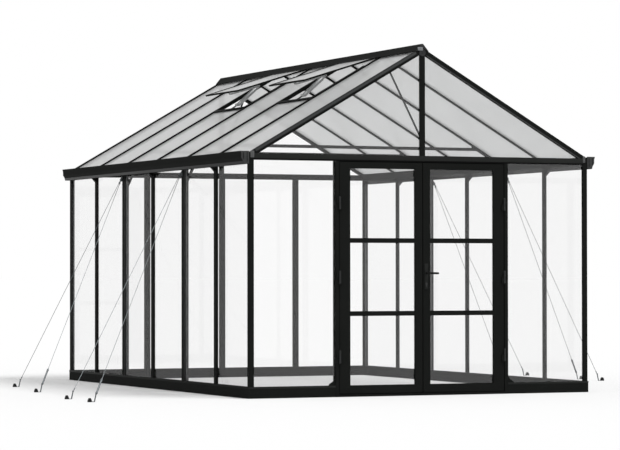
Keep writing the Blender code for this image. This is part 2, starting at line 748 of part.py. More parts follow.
def comb(name, columns, low, strip, top, near, far, finish, slots, tooth_tops=None, foot=None):
    """A sheet with open slots where the posts' webs pass, joined along its lower strip."""
    start, end = columns
    points = [(start, low), (end, low)]
    if foot is not None:
        inset, shoulder = foot
        points = [(start, shoulder), (start + inset, shoulder), (start + inset, low),
                  (end - inset, low), (end - inset, shoulder), (end, shoulder)]
    edges = [end] + [value for s in reversed(slots) for value in (s[1], s[0])] + [start]
    tops = tooth_tops or [top] * (len(slots) + 1)
    tops = list(reversed(tops))
    for index in range(0, len(edges), 2):
        right, left = edges[index], edges[index + 1]
        height = tops[index // 2]
        points.append((right, height))
        points.append((left, height))
        if index + 2 < len(edges):
            points.append((left, strip))
            points.append((edges[index + 2], strip))
    mesh = sweep_mesh(name, points, [near, far])
    return make_object(name, mesh, finish)


def build_wall_sheets():
    places = wall_places()
    edge = CORNER_CORE + GAP
    strip = BASE_HEIGHT - OVERLAP
    top = BEAM_UNDERSIDE - GAP
    half_web = POST_WEB / 2.0 + GAP
    inset = BASE_DEPTH - CORNER_CORE + GAP
    shoulder = BASE_HEIGHT + GAP
    for wall, length, bays in (("left", LENGTH, SIDE_BAYS), ("right", LENGTH, SIDE_BAYS),
                               ("back", WIDTH, END_BAYS)):
        place = places[wall]
        slots = []
        for number in range(1, bays):
            s = number * length / bays
            slots.append((s - half_web, s + half_web))
        foot = (inset, shoulder) if wall == "back" else None
        comb("glazing_" + wall, (edge, length - edge), SHEET_FOOT_Z, strip, top,
             lambda a, b: place(a, SHEET_INSET, b), lambda a, b: place(a, SHEET_BACK, b),
             clear_sheet(), slots, foot=foot)
    place = places["front"]
    for name, low, high in (("glazing_front_left", edge, HALF - JAMB_OUTER - GAP),
                            ("glazing_front_right", HALF + JAMB_OUTER + GAP, WIDTH - edge)):
        outer = 1.0 if low == edge else -1.0
        toe = (low + inset, high) if outer > 0.0 else (low, high - inset)
        outline = [(toe[0], SHEET_FOOT_Z), (toe[1], SHEET_FOOT_Z), (toe[1], shoulder),
                   (high, shoulder), (high, top), (low, top), (low, shoulder), (toe[0], shoulder)]
        outline = [p for i, p in enumerate(outline) if p != outline[i - 1]]
        mesh = sweep_mesh(name, outline, [
            lambda a, b: place(a, SHEET_INSET, b),
            lambda a, b: place(a, SHEET_BACK, b),
        ])
        make_object(name, mesh, clear_sheet())


def build_gable_sheets():
    """The clear triangle over an end wall, with a slot for its king post's web."""
    foot = BEAM_TOP - GROOVE_DEPTH + GAP
    strip = BEAM_TOP - SHEET
    web = POST_WEB / 2.0 + GAP
    edge = HALF - BEAM_DEPTH - 2.0 * GAP
    under = GABLE_RAFTER_DEPTH + GAP
    king_top = roof_z(web, under)
    corner = (roof_z(0.0, under) - BEAM_TOP) / SLOPE
    side = min(edge, corner)
    outline = [
        (-side, foot), (side, foot), (side, BEAM_TOP),
        (web, king_top), (web, strip), (-web, strip), (-web, king_top), (-side, BEAM_TOP),
    ]
    for wall in ("front", "back"):
        place = wall_places()[wall]
        mesh = sweep_mesh("gable_glazing_" + wall, outline, [
            lambda a, b: place(HALF + a, SHEET_INSET, b),
            lambda a, b: place(HALF + a, SHEET_BACK, b),
        ])
        make_object("gable_glazing_" + wall, mesh, clear_sheet())


def build_roof_sheets():
    """One hazy sheet a slope, slotted for the rafters' webs and cut short under the vents."""
    web = RAFTER_WEB / 2.0 + GAP
    edge = CORNER_CORE + GAP
    cos = math.cos(PITCH)
    lower = (HALF + EAVE_OVERHANG) / cos
    strip = (HALF - BEAM_DEPTH) / cos + OVERLAP
    sill_edge = VENT_SILL + VENT_SILL_WEB + OVERLAP - ROOF_SHEET_H * SLOPE
    for name, side in (("roof_glazing_left", -1.0), ("roof_glazing_right", 1.0)):
        slots = []
        tops = []
        for number in range(1, SIDE_BAYS):
            s = number * SIDE_PITCH
            slots.append((s - web, s + web))
        for bay in range(1, SIDE_BAYS + 1):
            open_bay = side < 0.0 and bay in VENT_BAYS
            tops.append(sill_edge if open_bay else ROOF_SHEET_HEAD)

        def near(a, b):
            x = b * cos
            return Vector((side * x, FRONT + a, roof_z(x, ROOF_SHEET_H)))

        def far(a, b):
            x = b * cos
            return Vector((side * x, FRONT + a, roof_z(x, ROOF_SHEET_H + SHEET)))

        comb(name, (edge, LENGTH - edge), lower, strip, ROOF_SHEET_HEAD, near, far, hazy_sheet(), slots,
             tops)


def framed(name, width, length, depth, bars, cross_bars, finish, place, rebate=PANE_REBATE,
           step=0.0):
    """A rectangular frame with cross bars and a groove for one sheet, in its own plane."""
    left, right, bottom, top = bars
    outline = [(0.0, 0.0), (width, 0.0), (width, length), (0.0, length)]
    mesh = sweep_mesh(name, outline, [
        lambda a, b: place(a, b, 0.0),
        lambda a, b: place(a, b, depth),
    ])
    frame = make_object(name, mesh, finish)
    edges = [bottom] + [v for c in cross_bars for v in c] + [length - top]
    for low, high in zip(edges[0::2], edges[1::2]):
        hole = [(left, low), (width - right, low), (width - right, high), (left, high)]
        cut(frame, sweep_mesh("hole", hole, [
            lambda a, b: place(a, b, -CLEAR_THROUGH),
            lambda a, b: place(a, b, depth + CLEAR_THROUGH),
        ]))
        if step > 0.0:
            wider = [(left - step, low - step), (width - right + step, low - step),
                     (width - right + step, high + step), (left - step, high + step)]
            cut(frame, sweep_mesh("step", wider, [
                lambda a, b: place(a, b, depth / 2.0),
                lambda a, b: place(a, b, depth + CLEAR_THROUGH),
            ]))
    mid = depth / 2.0
    half = SHEET / 2.0 + GAP
    groove = [
        (left - rebate, bottom - rebate), (width - right + rebate, bottom - rebate),
        (width - right + rebate, length - top + rebate), (left - rebate, length - top + rebate),
    ]
    cut(frame, sweep_mesh("groove", groove, [
        lambda a, b: place(a, b, mid - half),
        lambda a, b: place(a, b, mid + half),
    ]))
    return frame


def framed_sheet(name, width, length, depth, bars, finish, place, rebate=PANE_REBATE):
    left, right, bottom, top = bars
    mid = depth / 2.0
    edge = rebate - GAP
    outline = [
        (left - edge, bottom - edge), (width - right + edge, bottom - edge),
        (width - right + edge, length - top + edge), (left - edge, length - top + edge),
    ]
    mesh = sweep_mesh(name, outline, [
        lambda a, b: place(a, b, mid - SHEET / 2.0),
        lambda a, b: place(a, b, mid + SHEET / 2.0),
    ])
    return make_object(name, mesh, finish)


def build_doors():
    inner = JAMB_OUTER - JAMB_WIDTH
    bottom = SILL_HEIGHT + DOOR_GAP
    top = BEAM_UNDERSIDE - DOOR_GAP
    width = inner - DOOR_GAP - MEETING_GAP / 2.0
    length = top - bottom
    axis_y = FRONT + LEAF_FACE - HINGE_STAND_OFF
    bars = (OUTER_STILE, MEETING_STILE, LEAF_BOTTOM_RAIL, LEAF_TOP_RAIL)
    cross = []
    for height in GLAZING_BAR_HEIGHTS:
        middle = height - bottom
        cross.append((middle - GLAZING_BAR / 2.0, middle + GLAZING_BAR / 2.0))
    for side, word in ((-1.0, "left"), (1.0, "right")):
        hinge_x = side * (inner - DOOR_GAP / 2.0)
        pivot = bpy.data.objects.new(word + "_door_pivot", None)
        pivot.location = (hinge_x, axis_y, 0.0)
        bpy.context.scene.collection.objects.link(pivot)
        bpy.context.view_layer.update()
        outer_x = side * (inner - DOOR_GAP)

        def place(a, b, c):
            return Vector((outer_x - side * a, FRONT + LEAF_FACE + c, bottom + b))

        leaf = framed("door_%s_frame" % word, width, length, LEAF_DEPTH, bars, cross,
                      frame_paint(), place, step=LEAF_STEP)
        sheet = framed_sheet("door_%s_glazing" % word, width, length, LEAF_DEPTH, bars,
                             clear_sheet(), place)
        for height in HINGE_HEIGHTS:
            low = height - HINGE_LENGTH / 2.0
            high = height - GAP
            fuse(leaf, rod_mesh("barrel", (hinge_x, axis_y, low), (hinge_x, axis_y, high),
                                HINGE_RADIUS, 12))
            edges = sorted((hinge_x, hinge_x - side * HINGE_PLATE_WIDTH))
            fuse(leaf, box_mesh("wing", (edges[0], axis_y, low),
                                (edges[1], FRONT + LEAF_FACE + OVERLAP, high)))
        if side > 0.0:
            build_handle(leaf, pivot)
        for thing in (leaf, sheet):
            attach(thing, pivot)


def attach(thing, pivot):
    thing.parent = pivot
    thing.matrix_parent_inverse = pivot.matrix_world.inverted()


def build_handle(leaf, pivot):
    """Long plates on both faces of the right leaf and a lever on a spindle through them."""
    x = MEETING_GAP / 2.0 + HANDLE_INSET
    face = FRONT + LEAF_FACE
    back = face + LEAF_DEPTH
    half = HANDLE_PLATE_WIDTH / 2.0
    for low, high in ((face - HANDLE_PLATE_DEPTH, face + OVERLAP),
                      (back - OVERLAP, back + HANDLE_PLATE_DEPTH)):
        fuse(leaf, box_mesh("plate", (x - half, low, HANDLE_PLATE_BOTTOM),
                            (x + half, high, HANDLE_PLATE_TOP)))
    cut(leaf, rod_mesh("bore", (x, face - CLEAR_THROUGH, HANDLE_HEIGHT),
                       (x, back + CLEAR_THROUGH, HANDLE_HEIGHT),
                       SPINDLE_BORE, 16))
    out = LEVER_STAND_OFF
    mesh = rod_mesh("door_handle", (x, face - out, HANDLE_HEIGHT),
                    (x, back + out, HANDLE_HEIGHT), SPINDLE_RADIUS, 16)
    handle = make_object("door_handle", mesh, frame_paint())
    for middle in (face - out, back + out):
        low = middle - LEVER_DEPTH / 2.0
        high = middle + LEVER_DEPTH / 2.0
        h = LEVER_HEIGHT / 2.0
        outline = [
            (-h * 0.6, -h), (LEVER_LENGTH - LEVER_TIP, -h * 0.7), (LEVER_LENGTH, -h * 0.3),
            (LEVER_LENGTH, h * 0.3), (LEVER_LENGTH - LEVER_TIP, h * 0.7), (-h * 0.6, h), (-h, h * 0.6),
            (-h, -h * 0.6),
        ]
        fuse(handle, sweep_mesh("lever", outline, [
            lambda a, b: Vector((x + a, low, HANDLE_HEIGHT + b)),
            lambda a, b: Vector((x + a, high, HANDLE_HEIGHT + b)),
        ]))
    attach(handle, pivot)


def build_vents():
    """Vents standing open on the left slope: sash, sheet, sill bar and its opener."""
    cos = math.cos(PITCH)
    for bay, word in zip(VENT_BAYS, ("front", "rear")):
        middle = FRONT + (bay - 0.5) * SIDE_PITCH
        hinge_x = -VENT_HINGE * cos
        hinge_z = roof_z(hinge_x, -VENT_LIFT)
        fall = PITCH - VENT_OPENING_ANGLE
        along = Vector((-math.cos(fall), 0.0, -math.sin(fall)))
        normal = Vector((-math.sin(fall), 0.0, math.cos(fall)))
        origin = Vector((hinge_x, middle - VENT_WIDTH / 2.0, hinge_z))

        def place(a, b, c):
            return origin + Vector((0.0, a, 0.0)) + along * b + normal * c

        bars = (VENT_FRAME, VENT_FRAME, VENT_FRAME, VENT_FRAME)
        framed("vent_%s_frame" % word, VENT_WIDTH, VENT_LENGTH, VENT_DEPTH, bars, [],
               frame_paint(), place)
        framed_sheet("vent_%s_glazing" % word, VENT_WIDTH, VENT_LENGTH, VENT_DEPTH, bars,
                     hazy_sheet(), place)
        build_vent_sill(word, bay, middle, place)


def build_vent_sill(word, bay, middle, place):
    cos = math.cos(PITCH)
    half = SIDE_PITCH / 2.0 - RAFTER_FACE / 2.0 - GAP
    s0 = VENT_SILL - VENT_SILL_WIDTH / 2.0
    s1 = VENT_SILL + VENT_SILL_WIDTH / 2.0
    web = VENT_SILL + VENT_SILL_WEB
    under = ROOF_SHEET_H + SHEET + GAP
    cap = RAFTER_CAP
    outline = [
        (s0, 0.0), (s1, 0.0), (s1, cap), (web, cap), (web, under),
        (s1, under), (s1, under + VENT_SILL_FLANGE), (s0, under + VENT_SILL_FLANGE),
    ]

    def at(y):
        def station(s, h):
            x = -s * cos + h * math.sin(PITCH)
            return Vector((x, y, RIDGE_TOP - s * math.sin(PITCH) - h * cos))
        return station

    mesh = sweep_mesh("vent_%s_sill" % word, outline, [at(middle - half), at(middle + half)])
    sill = make_object("vent_%s_sill" % word, mesh, frame_paint())
    foot_down = VENT_SILL - OPENER_BRACKET
    foot = at(middle)(foot_down, cap / 2.0)
    under_sheet = VENT_DEPTH / 2.0 - SHEET / 2.0 - GAP - OPENER_ARM
    head = place(VENT_WIDTH / 2.0, OPENER_HEAD, under_sheet)
    aim = (head - foot).normalized()
    flat = OPENER_BRACKET_HALF
    bracket = [(foot_down - flat, OVERLAP), (VENT_SILL, OVERLAP), (VENT_SILL, cap - OVERLAP),
               (foot_down - flat, cap - OVERLAP)]
    fuse(sill, sweep_mesh("bracket", bracket, [at(middle - flat), at(middle + flat)]))
    fuse(sill, rod_mesh("cylinder", foot, foot + aim * OPENER_LENGTH, OPENER_RADIUS, 10))
    fuse(sill, rod_mesh("arm", foot + aim * (OPENER_LENGTH - OPENER_ARM), head, OPENER_ARM, 8))


def build_guys():
    """Two taut wires from an eye plate at each deep post down to pegs in the ground."""
    for side, word in ((-1.0, "left"), (1.0, "right")):
        for number, end in zip(GUY_POSTS, ("front", "rear")):
            y = FRONT + number * SIDE_PITCH
            face = HALF + GAP
            edge = face + EYE_REACH + EYE_MARGIN
            foot = GUY_TOP - EYE_PLATE_DROP
            back = GUY_TOP + EYE_PLATE_RISE
            plate = [(face, foot), (edge - EYE_MARGIN, foot), (edge, foot + EYE_MARGIN),
                     (edge, GUY_TOP), (face + EYE_PLATE, back), (face, back)]
            name = "guy_%s_%s" % (word, end)
            mesh = sweep_mesh(name, plate, [
                lambda a, b: Vector((side * a, y - EYE_PLATE / 2.0, b)),
                lambda a, b: Vector((side * a, y + EYE_PLATE / 2.0, b)),
            ])
            guy = make_object(name, mesh, grey_metal())
            eye = Vector((side * (face + EYE_REACH), y, GUY_TOP - EYE_MARGIN))
            rise = Vector((0.0, 0.0, EYE_PIN_RISE))
            fuse(guy, rod_mesh("eye", eye - rise, eye + rise, EYE_PIN_RADIUS, 10))
            for place, (reach, shift) in enumerate(GUY_FEET["%s_%s" % (word, end)]):
                stake = Vector((side * (HALF + reach), y + shift, 0.0))
                top = eye + rise * (0.5 - place)
                hook = stake + Vector((-side * STAKE_LEAN, 0.0, STAKE_HEIGHT))
                fuse(guy, rod_mesh("wire", top, hook, WIRE_RADIUS, 6))
                fuse(guy, rod_mesh("stake", stake, hook + Vector((0.0, 0.0, STAKE_RADIUS)),
                                   STAKE_RADIUS, 8))
                if place == 1:
                    aim = (top - hook).normalized()
                    fuse(guy, rod_mesh("turnbuckle", hook, hook + aim * TURNBUCKLE_LENGTH,
                                       TURNBUCKLE_RADIUS, 8))
                build_peg(guy, stake, side)


def build_peg(guy, stake, side):
    """The black wedge beside a stake, with the flat link that ties them."""
    middle = stake.x + side * PEG_OFFSET
    low, high = sorted((stake.x, middle))
    link = PEG_LINK_WIDTH / 2.0
    fuse(guy, box_mesh("link", (low, stake.y - link, 0.0), (high, stake.y + link, PEG_LINK)))
    half = PEG_WIDTH / 2.0
    shoulder = PEG_HEIGHT * 0.6
    dome = [(-half, 0.0), (half, 0.0), (half * 0.75, shoulder), (half * 0.3, PEG_HEIGHT),
            (-half * 0.3, PEG_HEIGHT), (-half * 0.75, shoulder)]
    fuse(guy, sweep_mesh("peg", dome, [
        lambda a, b: Vector((middle + a, stake.y - PEG_THICKNESS / 2.0, b)),
        lambda a, b: Vector((middle + a, stake.y + PEG_THICKNESS / 2.0, b)),
    ]))


def main():
    remove_everything()
    build_base()
    build_front_base_frame()
    build_corner_posts()
    build_wall_posts()
    build_gutters()
    build_gable_frames()
    build_rafters()
    build_ridge()
    build_trusses()
    build_wall_sheets()
    build_gable_sheets()
    build_roof_sheets()
    build_doors()
    build_vents()
    build_guys()


main()
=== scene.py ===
# %% [markdown]
# # A garden greenhouse on a white ground
# The building is already there as a fixed frame of exact solids: posts, rails, sheets, doors and
# guy wires.  This lesson gives every surface its finish, adds the small parts that a maker would
# screw on, and sets up the light and the camera.  All sizes are real ones, in metres.

import math

import bmesh
import bpy
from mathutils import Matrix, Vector


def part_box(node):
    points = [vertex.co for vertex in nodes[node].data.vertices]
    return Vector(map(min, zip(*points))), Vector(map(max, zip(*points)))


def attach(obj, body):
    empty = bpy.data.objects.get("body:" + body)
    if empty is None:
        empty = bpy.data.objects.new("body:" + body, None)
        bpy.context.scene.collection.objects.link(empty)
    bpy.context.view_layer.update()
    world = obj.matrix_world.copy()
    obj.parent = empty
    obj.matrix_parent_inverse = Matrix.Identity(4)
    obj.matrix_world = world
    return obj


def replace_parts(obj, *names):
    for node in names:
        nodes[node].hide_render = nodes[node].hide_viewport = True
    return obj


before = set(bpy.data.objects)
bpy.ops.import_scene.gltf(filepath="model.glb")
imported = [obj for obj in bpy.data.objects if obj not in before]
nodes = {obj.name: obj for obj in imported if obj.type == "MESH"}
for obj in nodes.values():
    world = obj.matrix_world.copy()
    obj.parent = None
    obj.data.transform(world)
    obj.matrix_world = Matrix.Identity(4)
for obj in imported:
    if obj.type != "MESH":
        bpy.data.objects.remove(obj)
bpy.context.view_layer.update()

# %% [markdown]
# ## Measures
# The frame knows where everything is, so lengths are read from it instead of being typed again.
# A greenhouse is built on a grid: the posts of the side walls stand one bay apart, and the roof
# falls by 30 degrees from a line just under the ridge's hood.

# %% Read the grid from the frame
MM = 0.001
front_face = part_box("corner_post_front_left")[0].y
back_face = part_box("corner_post_back_left")[1].y
half_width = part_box("right_post_1")[1].x
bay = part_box("left_post_2")[0].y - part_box("left_post_1")[0].y
base_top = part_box("left_post_1")[0].z
eave_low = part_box("front_beam")[0].z
eave_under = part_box("left_post_1")[1].z
beam_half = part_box("back_beam")[1].x
ridge_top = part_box("ridge")[1].z
print("front at", round(front_face, 3), " back at", round(back_face, 3), " bay", round(bay, 3))

# %% Lines of the roof
PITCH = math.radians(30.0)
apex = ridge_top - 31.0 * MM


def roof_point(down, y, above, side):
    """A point so far down a slope from the ridge, and so far above the rafters' top line."""
    x = side * (down * math.cos(PITCH) + above * math.sin(PITCH))
    return Vector((x, y, apex - down * math.sin(PITCH) + above * math.cos(PITCH)))


def post_y(number):
    return front_face + number * bay


print("rafters' top lines meet at", round(apex, 3))

# %% [markdown]
# ## Colours and nodes
# Colours are written as the hex values that a paint card or a picture gives, which are sRGB.
# A shader works in linear light, so one function turns them.  A second one adds a shader node,
# sets its values and joins it up, so that a material reads like a recipe.

# %% Colours and nodes
def linear(hex_colour):
    """An sRGB hex value as the linear red, green, blue and alpha that a shader wants."""
    channels = [int(hex_colour[i:i + 2], 16) / 255.0 for i in (1, 3, 5)]
    return [c / 12.92 if c <= 0.04045 else ((c + 0.055) / 1.055) ** 2.4 for c in channels] + [1.0]


def add(tree, kind, values=None, links=None, **settings):
    """Adds one node: settings are its own options, values set its sockets, links feed them."""
    node = tree.nodes.new("ShaderNode" + kind)
    for option, choice in settings.items():
        setattr(node, option, choice)
    for socket, value in (values or {}).items():
        node.inputs[socket].default_value = value
    for socket, source in (links or {}).items():
        tree.links.new(source, node.inputs[socket])
    return node


def new_material(name):
    """An empty material, its node tree and its output."""
    material = bpy.data.materials.new(name)
    material.use_nodes = True
    material.node_tree.nodes.clear()
    return material, material.node_tree, add(material.node_tree, "OutputMaterial")


print("white is", linear("#ffffff"), " photo black is", [round(c, 4) for c in linear("#1c1d1c")])

# %% [markdown]
# ## Steps that most recipes share
# Real surfaces vary a little: in colour, in gloss and in height.  A soft random grain of a real size
# drives all three.  A smooth skin mirrors more at a flat angle, nearly with the fifth power of it.

# %% Grain, colour, gloss, bumps and angle
def noise(tree, size, detail=2.0, roughness=0.5):
    """A random grain of a real size, fixed to the object, with values from 0 to 1."""
    place = add(tree, "TexCoord").outputs["Object"]
    values = {"Scale": 1.0 / size, "Detail": detail, "Roughness": roughness}
    return add(tree, "TexNoise", values, {"Vector": place}).outputs["Fac"]


def between(tree, low, high, share):
    """A number that goes from low to high as the share goes from 0 to 1."""
    return add(tree, "MapRange", {"To Min": low, "To Max": high}, {"Value": share}).outputs["Result"]


def blend(tree, one, other, share):
    """A colour that goes from one hex value to the other as the share goes from 0 to 1."""
    colours = {"Color1": linear(one), "Color2": linear(other)}
    return add(tree, "MixRGB", colours, {"Fac": share}).outputs["Color"]


def bumps(tree, height, strength, depth):
    """The direction of a skin that a height from 0 to 1 makes uneven, by a real depth."""
    values = {"Strength": strength, "Distance": depth}
    return add(tree, "Bump", values, {"Height": height}).outputs["Normal"]


def facing(tree):
    """0 where a surface is seen squarely, 1 where it is seen along its skin."""
    return add(tree, "LayerWeight", {"Blend": 0.5}).outputs["Facing"]


def grazing(tree, most):
    """A share that grows with the fifth power of the angle, up to the most at the rim."""
    steep = add(tree, "Math", {1: 5.0}, {0: facing(tree)}, operation="POWER").outputs["Value"]
    return add(tree, "Math", {1: most}, {0: steep}, operation="MULTIPLY").outputs["Value"]


def either(tree, one, other):
    """The larger of two values, so 1 where one of them is 1."""
    return add(tree, "Math", None, {0: one, 1: other}, operation="MAXIMUM").outputs["Value"]


print("half way to the rim a skin mirrors", 0.5 ** 5, "of what it does there")

# %% [markdown]
# ## Satin black powder coat
# The profiles are extruded aluminium with a baked polyester powder coat.  The powder melts into a
# skin with a fine ripple, called orange peel, about 1.5 mm from crest to crest, which breaks up the
# highlights.  At this distance a pixel is 7 mm wide, so the ripple is drawn 4 mm wide here and a
# second, broad and faint change in gloss stands for the uneven thickness of the coat.
# A satin coat is full of fine chalk, so it hardly shines when it is seen squarely.  At a flat angle
# it does: the tops of rails and rafters and the undersides of the gutters look paler than the
# fronts.  The share of the satin layer therefore grows with the fifth power of that angle.

# %% Powder coat
def powder_coat(name, colour, worn, sheen, roughness):
    material, tree, output = new_material(name)
    ripple = bumps(tree, noise(tree, 4.0 * MM), 0.25, 0.15 * MM)
    cloud = noise(tree, 260.0 * MM, 3.0)
    pigment = add(tree, "BsdfPrincipled", {"Specular IOR Level": 0.0, "Roughness": roughness},
                  {"Base Color": blend(tree, colour, worn, cloud), "Normal": ripple})
    gloss = between(tree, roughness - 0.05, roughness + 0.06, cloud)
    satin = add(tree, "BsdfPrincipled", {"Base Color": linear("#ffffff"), "Metallic": 1.0},
                {"Roughness": gloss, "Normal": ripple})
    surface = add(tree, "MixShader", None, {0: grazing(tree, sheen), 1: pigment.outputs["BSDF"],
                                            2: satin.outputs["BSDF"]})
    tree.links.new(surface.outputs["Shader"], output.inputs["Surface"])
    return material


black_coat = powder_coat("satin_black_powder_coat", "#191a19", "#1e1f1e", 0.055, 0.42)
# The paler trim coat partly paints light: on the base ledges, the front rail's cover and the lock plates it
# stands for light caught on tops and edges.
trim_and_highlight_coat = powder_coat("satin_black_trim_and_highlight_coat", "#262726", "#2d2e2d", 0.080, 0.42)
print("made", black_coat.name, "and", trim_and_highlight_coat.name)

# %% [markdown]
# ## Clear polycarbonate
# The wall sheets are 4 mm polycarbonate, extruded between polished rollers.  A flat sheet does not
# bend the view, so it can be drawn as a surface that lets light straight through and mirrors a
# little of what stands in front of it.  A ray crosses both faces of a sheet, so each face gets half
# of the loss.  At a flat angle the way through the sheet is longer and it looks a touch greyer.
# The hard film against scratches keeps the mirrored part nearly the same from all sides.  The
# sheets of the back and right walls carry a film against drops as well, which mirrors less.

# %% Clear sheet
def clear_polycarbonate(name, facing_tint, edge_tint, mirrored):
    material, tree, output = new_material(name)
    ripple = bumps(tree, noise(tree, 420.0 * MM, 1.0), 0.06, 0.6 * MM)
    tint = blend(tree, facing_tint, edge_tint, facing(tree))
    through = add(tree, "BsdfTransparent", None, {"Color": tint})
    gloss = add(tree, "BsdfPrincipled", {"Base Color": linear("#ffffff"), "Metallic": 1.0,
                                         "Roughness": 0.02}, {"Normal": ripple})
    surface = add(tree, "MixShader", {0: mirrored}, {1: through.outputs["BSDF"],
                                                     2: gloss.outputs["BSDF"]})
    tree.links.new(surface.outputs["Shader"], output.inputs["Surface"])
    return material


clear_sheet = clear_polycarbonate("clear_polycarbonate", "#fefefe", "#f9f9f9", 0.038)
coated_sheet = clear_polycarbonate("clear_coated_polycarbonate", "#fefefe", "#f9f9f9", 0.022)
print("made", clear_sheet.name, "and", coated_sheet.name)

# %% [markdown]
# ## Hazy roof polycarbonate
# The roof sheets scatter the light so that plants do not burn.  Fine white pigment in them throws
# part of the light back and lets part of it glow through, so a sheet looks evenly pale.  The rest
# passes straight on between the grains, and the bars behind show faintly.  Each face of the sheet
# does this once.  The rolled skin is smooth, so at a flat angle it also mirrors a little of the sky.
# For lamps and for light that comes up from the ground the sheet is simply a pale filter, or the
# ground below would lie in full shade.  Real pigment grains are far too fine to show, so they are
# drawn 9 mm wide.

# %% Hazy sheet
def hazy_polycarbonate(name, tint, bounce, glow_tint, filter_tint, milky, skin):
    material, tree, output = new_material(name)
    share = between(tree, milky - 0.04, milky + 0.04, noise(tree, 9.0 * MM))
    back = add(tree, "BsdfDiffuse", {"Color": linear(bounce)})
    glow = add(tree, "BsdfTranslucent", {"Color": linear(glow_tint)})
    matt = add(tree, "MixShader", {0: 0.5}, {1: back.outputs["BSDF"], 2: glow.outputs["BSDF"]})
    through = add(tree, "BsdfTransparent", {"Color": linear(tint)})
    body = add(tree, "MixShader", None, {0: share, 1: through.outputs["BSDF"],
                                         2: matt.outputs["Shader"]})
    gloss = add(tree, "BsdfPrincipled", {"Base Color": linear("#ffffff"), "Metallic": 1.0,
                                         "Roughness": 0.15})
    sheet = add(tree, "MixShader", None, {0: grazing(tree, skin), 1: body.outputs["Shader"],
                                          2: gloss.outputs["BSDF"]})
    shade = add(tree, "BsdfTransparent", {"Color": linear(filter_tint)})
    rays = add(tree, "LightPath")
    light = either(tree, rays.outputs["Is Shadow Ray"], rays.outputs["Is Diffuse Ray"])
    surface = add(tree, "MixShader", None, {0: light, 1: sheet.outputs["Shader"],
                                            2: shade.outputs["BSDF"]})
    tree.links.new(surface.outputs["Shader"], output.inputs["Surface"])
    return material


hazy_sheet = hazy_polycarbonate("hazy_polycarbonate", "#f4f5f5", bounce="#fbfbfb", glow_tint="#a9aaaa",
                                filter_tint="#e6e6e6", milky=0.60, skin=0.24)
print("made", hazy_sheet.name)

# %% [markdown]
# ## Galvanised steel
# The guy wires are stranded steel with a zinc skin.  Zinc weathers to a dull, rather dark grey with
# faint spangles, which keeps a thin wire in the sun from looking white.
# The strands of a 4 mm wire turn once in about 30 mm, which is too fine to show, so they are drawn
# as slanted waves some twelve times as long.  They make the wire glitter a little instead of
# shining as one smooth rod.

# %% Galvanised steel wire
def galvanised_steel(name, dark, light, pitch):
    material, tree, output = new_material(name)
    place = add(tree, "TexCoord").outputs["Object"]
    strands = add(tree, "TexWave", {"Scale": 1.0 / (20.0 * pitch), "Distortion": 0.2}, {"Vector": place},
                  bands_direction="DIAGONAL")
    shader = add(tree, "BsdfPrincipled", {"Metallic": 1.0, "Roughness": 0.45},
                 {"Base Color": blend(tree, dark, light, noise(tree, 14.0 * MM)),
                  "Normal": bumps(tree, strands.outputs["Fac"], 0.5, 0.3 * MM)})
    tree.links.new(shader.outputs["BSDF"], output.inputs["Surface"])
    return material


zinc_wire = galvanised_steel("galvanised_steel", "#54585a", "#6c7072", 30.0 * MM)
print("made", zinc_wire.name)

# %% [markdown]
# ## Anodised aluminium, and bright steel as a painted highlight
# The vent openers are drawn aluminium tube, anodised in its own colour.  Drawing leaves fine lines
# along the tube, about 0.2 mm apart, drawn 3 mm apart here so that they show at all.  The block on
# the ridge and its bolt are bright steel, darker and a little smoother: a painted highlight where
# the light catches the end of the ridge.

# %% Drawn and turned metal
def bare_metal(name, dark, light, roughness, line_spacing):
    material, tree, output = new_material(name)
    lines = noise(tree, line_spacing, 3.0, 0.7)
    shader = add(tree, "BsdfPrincipled", {"Metallic": 1.0},
                 {"Base Color": blend(tree, dark, light, lines),
                  "Roughness": between(tree, roughness - 0.08, roughness + 0.08, lines),
                  "Normal": bumps(tree, lines, 0.2, 0.1 * MM)})
    tree.links.new(shader.outputs["BSDF"], output.inputs["Surface"])
    return material


anodised = bare_metal("anodised_drawn_aluminium", "#8b8c8c", "#a3a4a4", 0.45, 3.0 * MM)
# This bright steel is used only for the painted highlight on the ridge.
highlight_steel = bare_metal("bright_steel_painted_highlight", "#6c6e70", "#8a8c8e", 0.35, 2.0 * MM)
print("made", anodised.name, "and", highlight_steel.name)

# %% [markdown]
# ## Moulded nylon and rubber
# Corner pieces, pegs and caps are injection moulded nylon.  The mould is spark eroded, which leaves
# a fine even grain and a dull shine.  The seals between sheets and posts are extruded rubber, as
# matt as a material gets, with a faint grey bloom.  Both are one recipe with other numbers.  The
# real grain is about 0.1 mm wide and is drawn 1.5 mm wide, or it would only flicker.

# %% Moulded plastic and rubber
def moulded(name, colour, bloom, roughness, shine, grain_size):
    material, tree, output = new_material(name)
    shader = add(tree, "BsdfPrincipled", {"Roughness": roughness, "Specular IOR Level": shine},
                 {"Base Color": blend(tree, colour, bloom, noise(tree, 30.0 * MM)),
                  "Normal": bumps(tree, noise(tree, grain_size), 0.3, 0.1 * MM)})
    tree.links.new(shader.outputs["BSDF"], output.inputs["Surface"])
    return material


black_nylon = moulded("black_moulded_nylon", "#161717", "#1e1f1f", 0.5, 0.15, 1.5 * MM)
# Grey is the colour of the gutter ends and the key, and it also paints the highlight on the gable rafter's
# edge.
grey_and_highlight_nylon = moulded("grey_nylon_and_painted_highlight", "#333434", "#3b3c3c", 0.5, 0.15, 1.5 * MM)
# Pale grey is the colour of seals and plates, and on the corner cleats it partly paints a highlight.
pale_and_highlight_nylon = moulded("pale_grey_nylon_and_painted_highlight", "#4e4f4f", "#5a5b5b", 0.5, 0.15, 1.5 * MM)
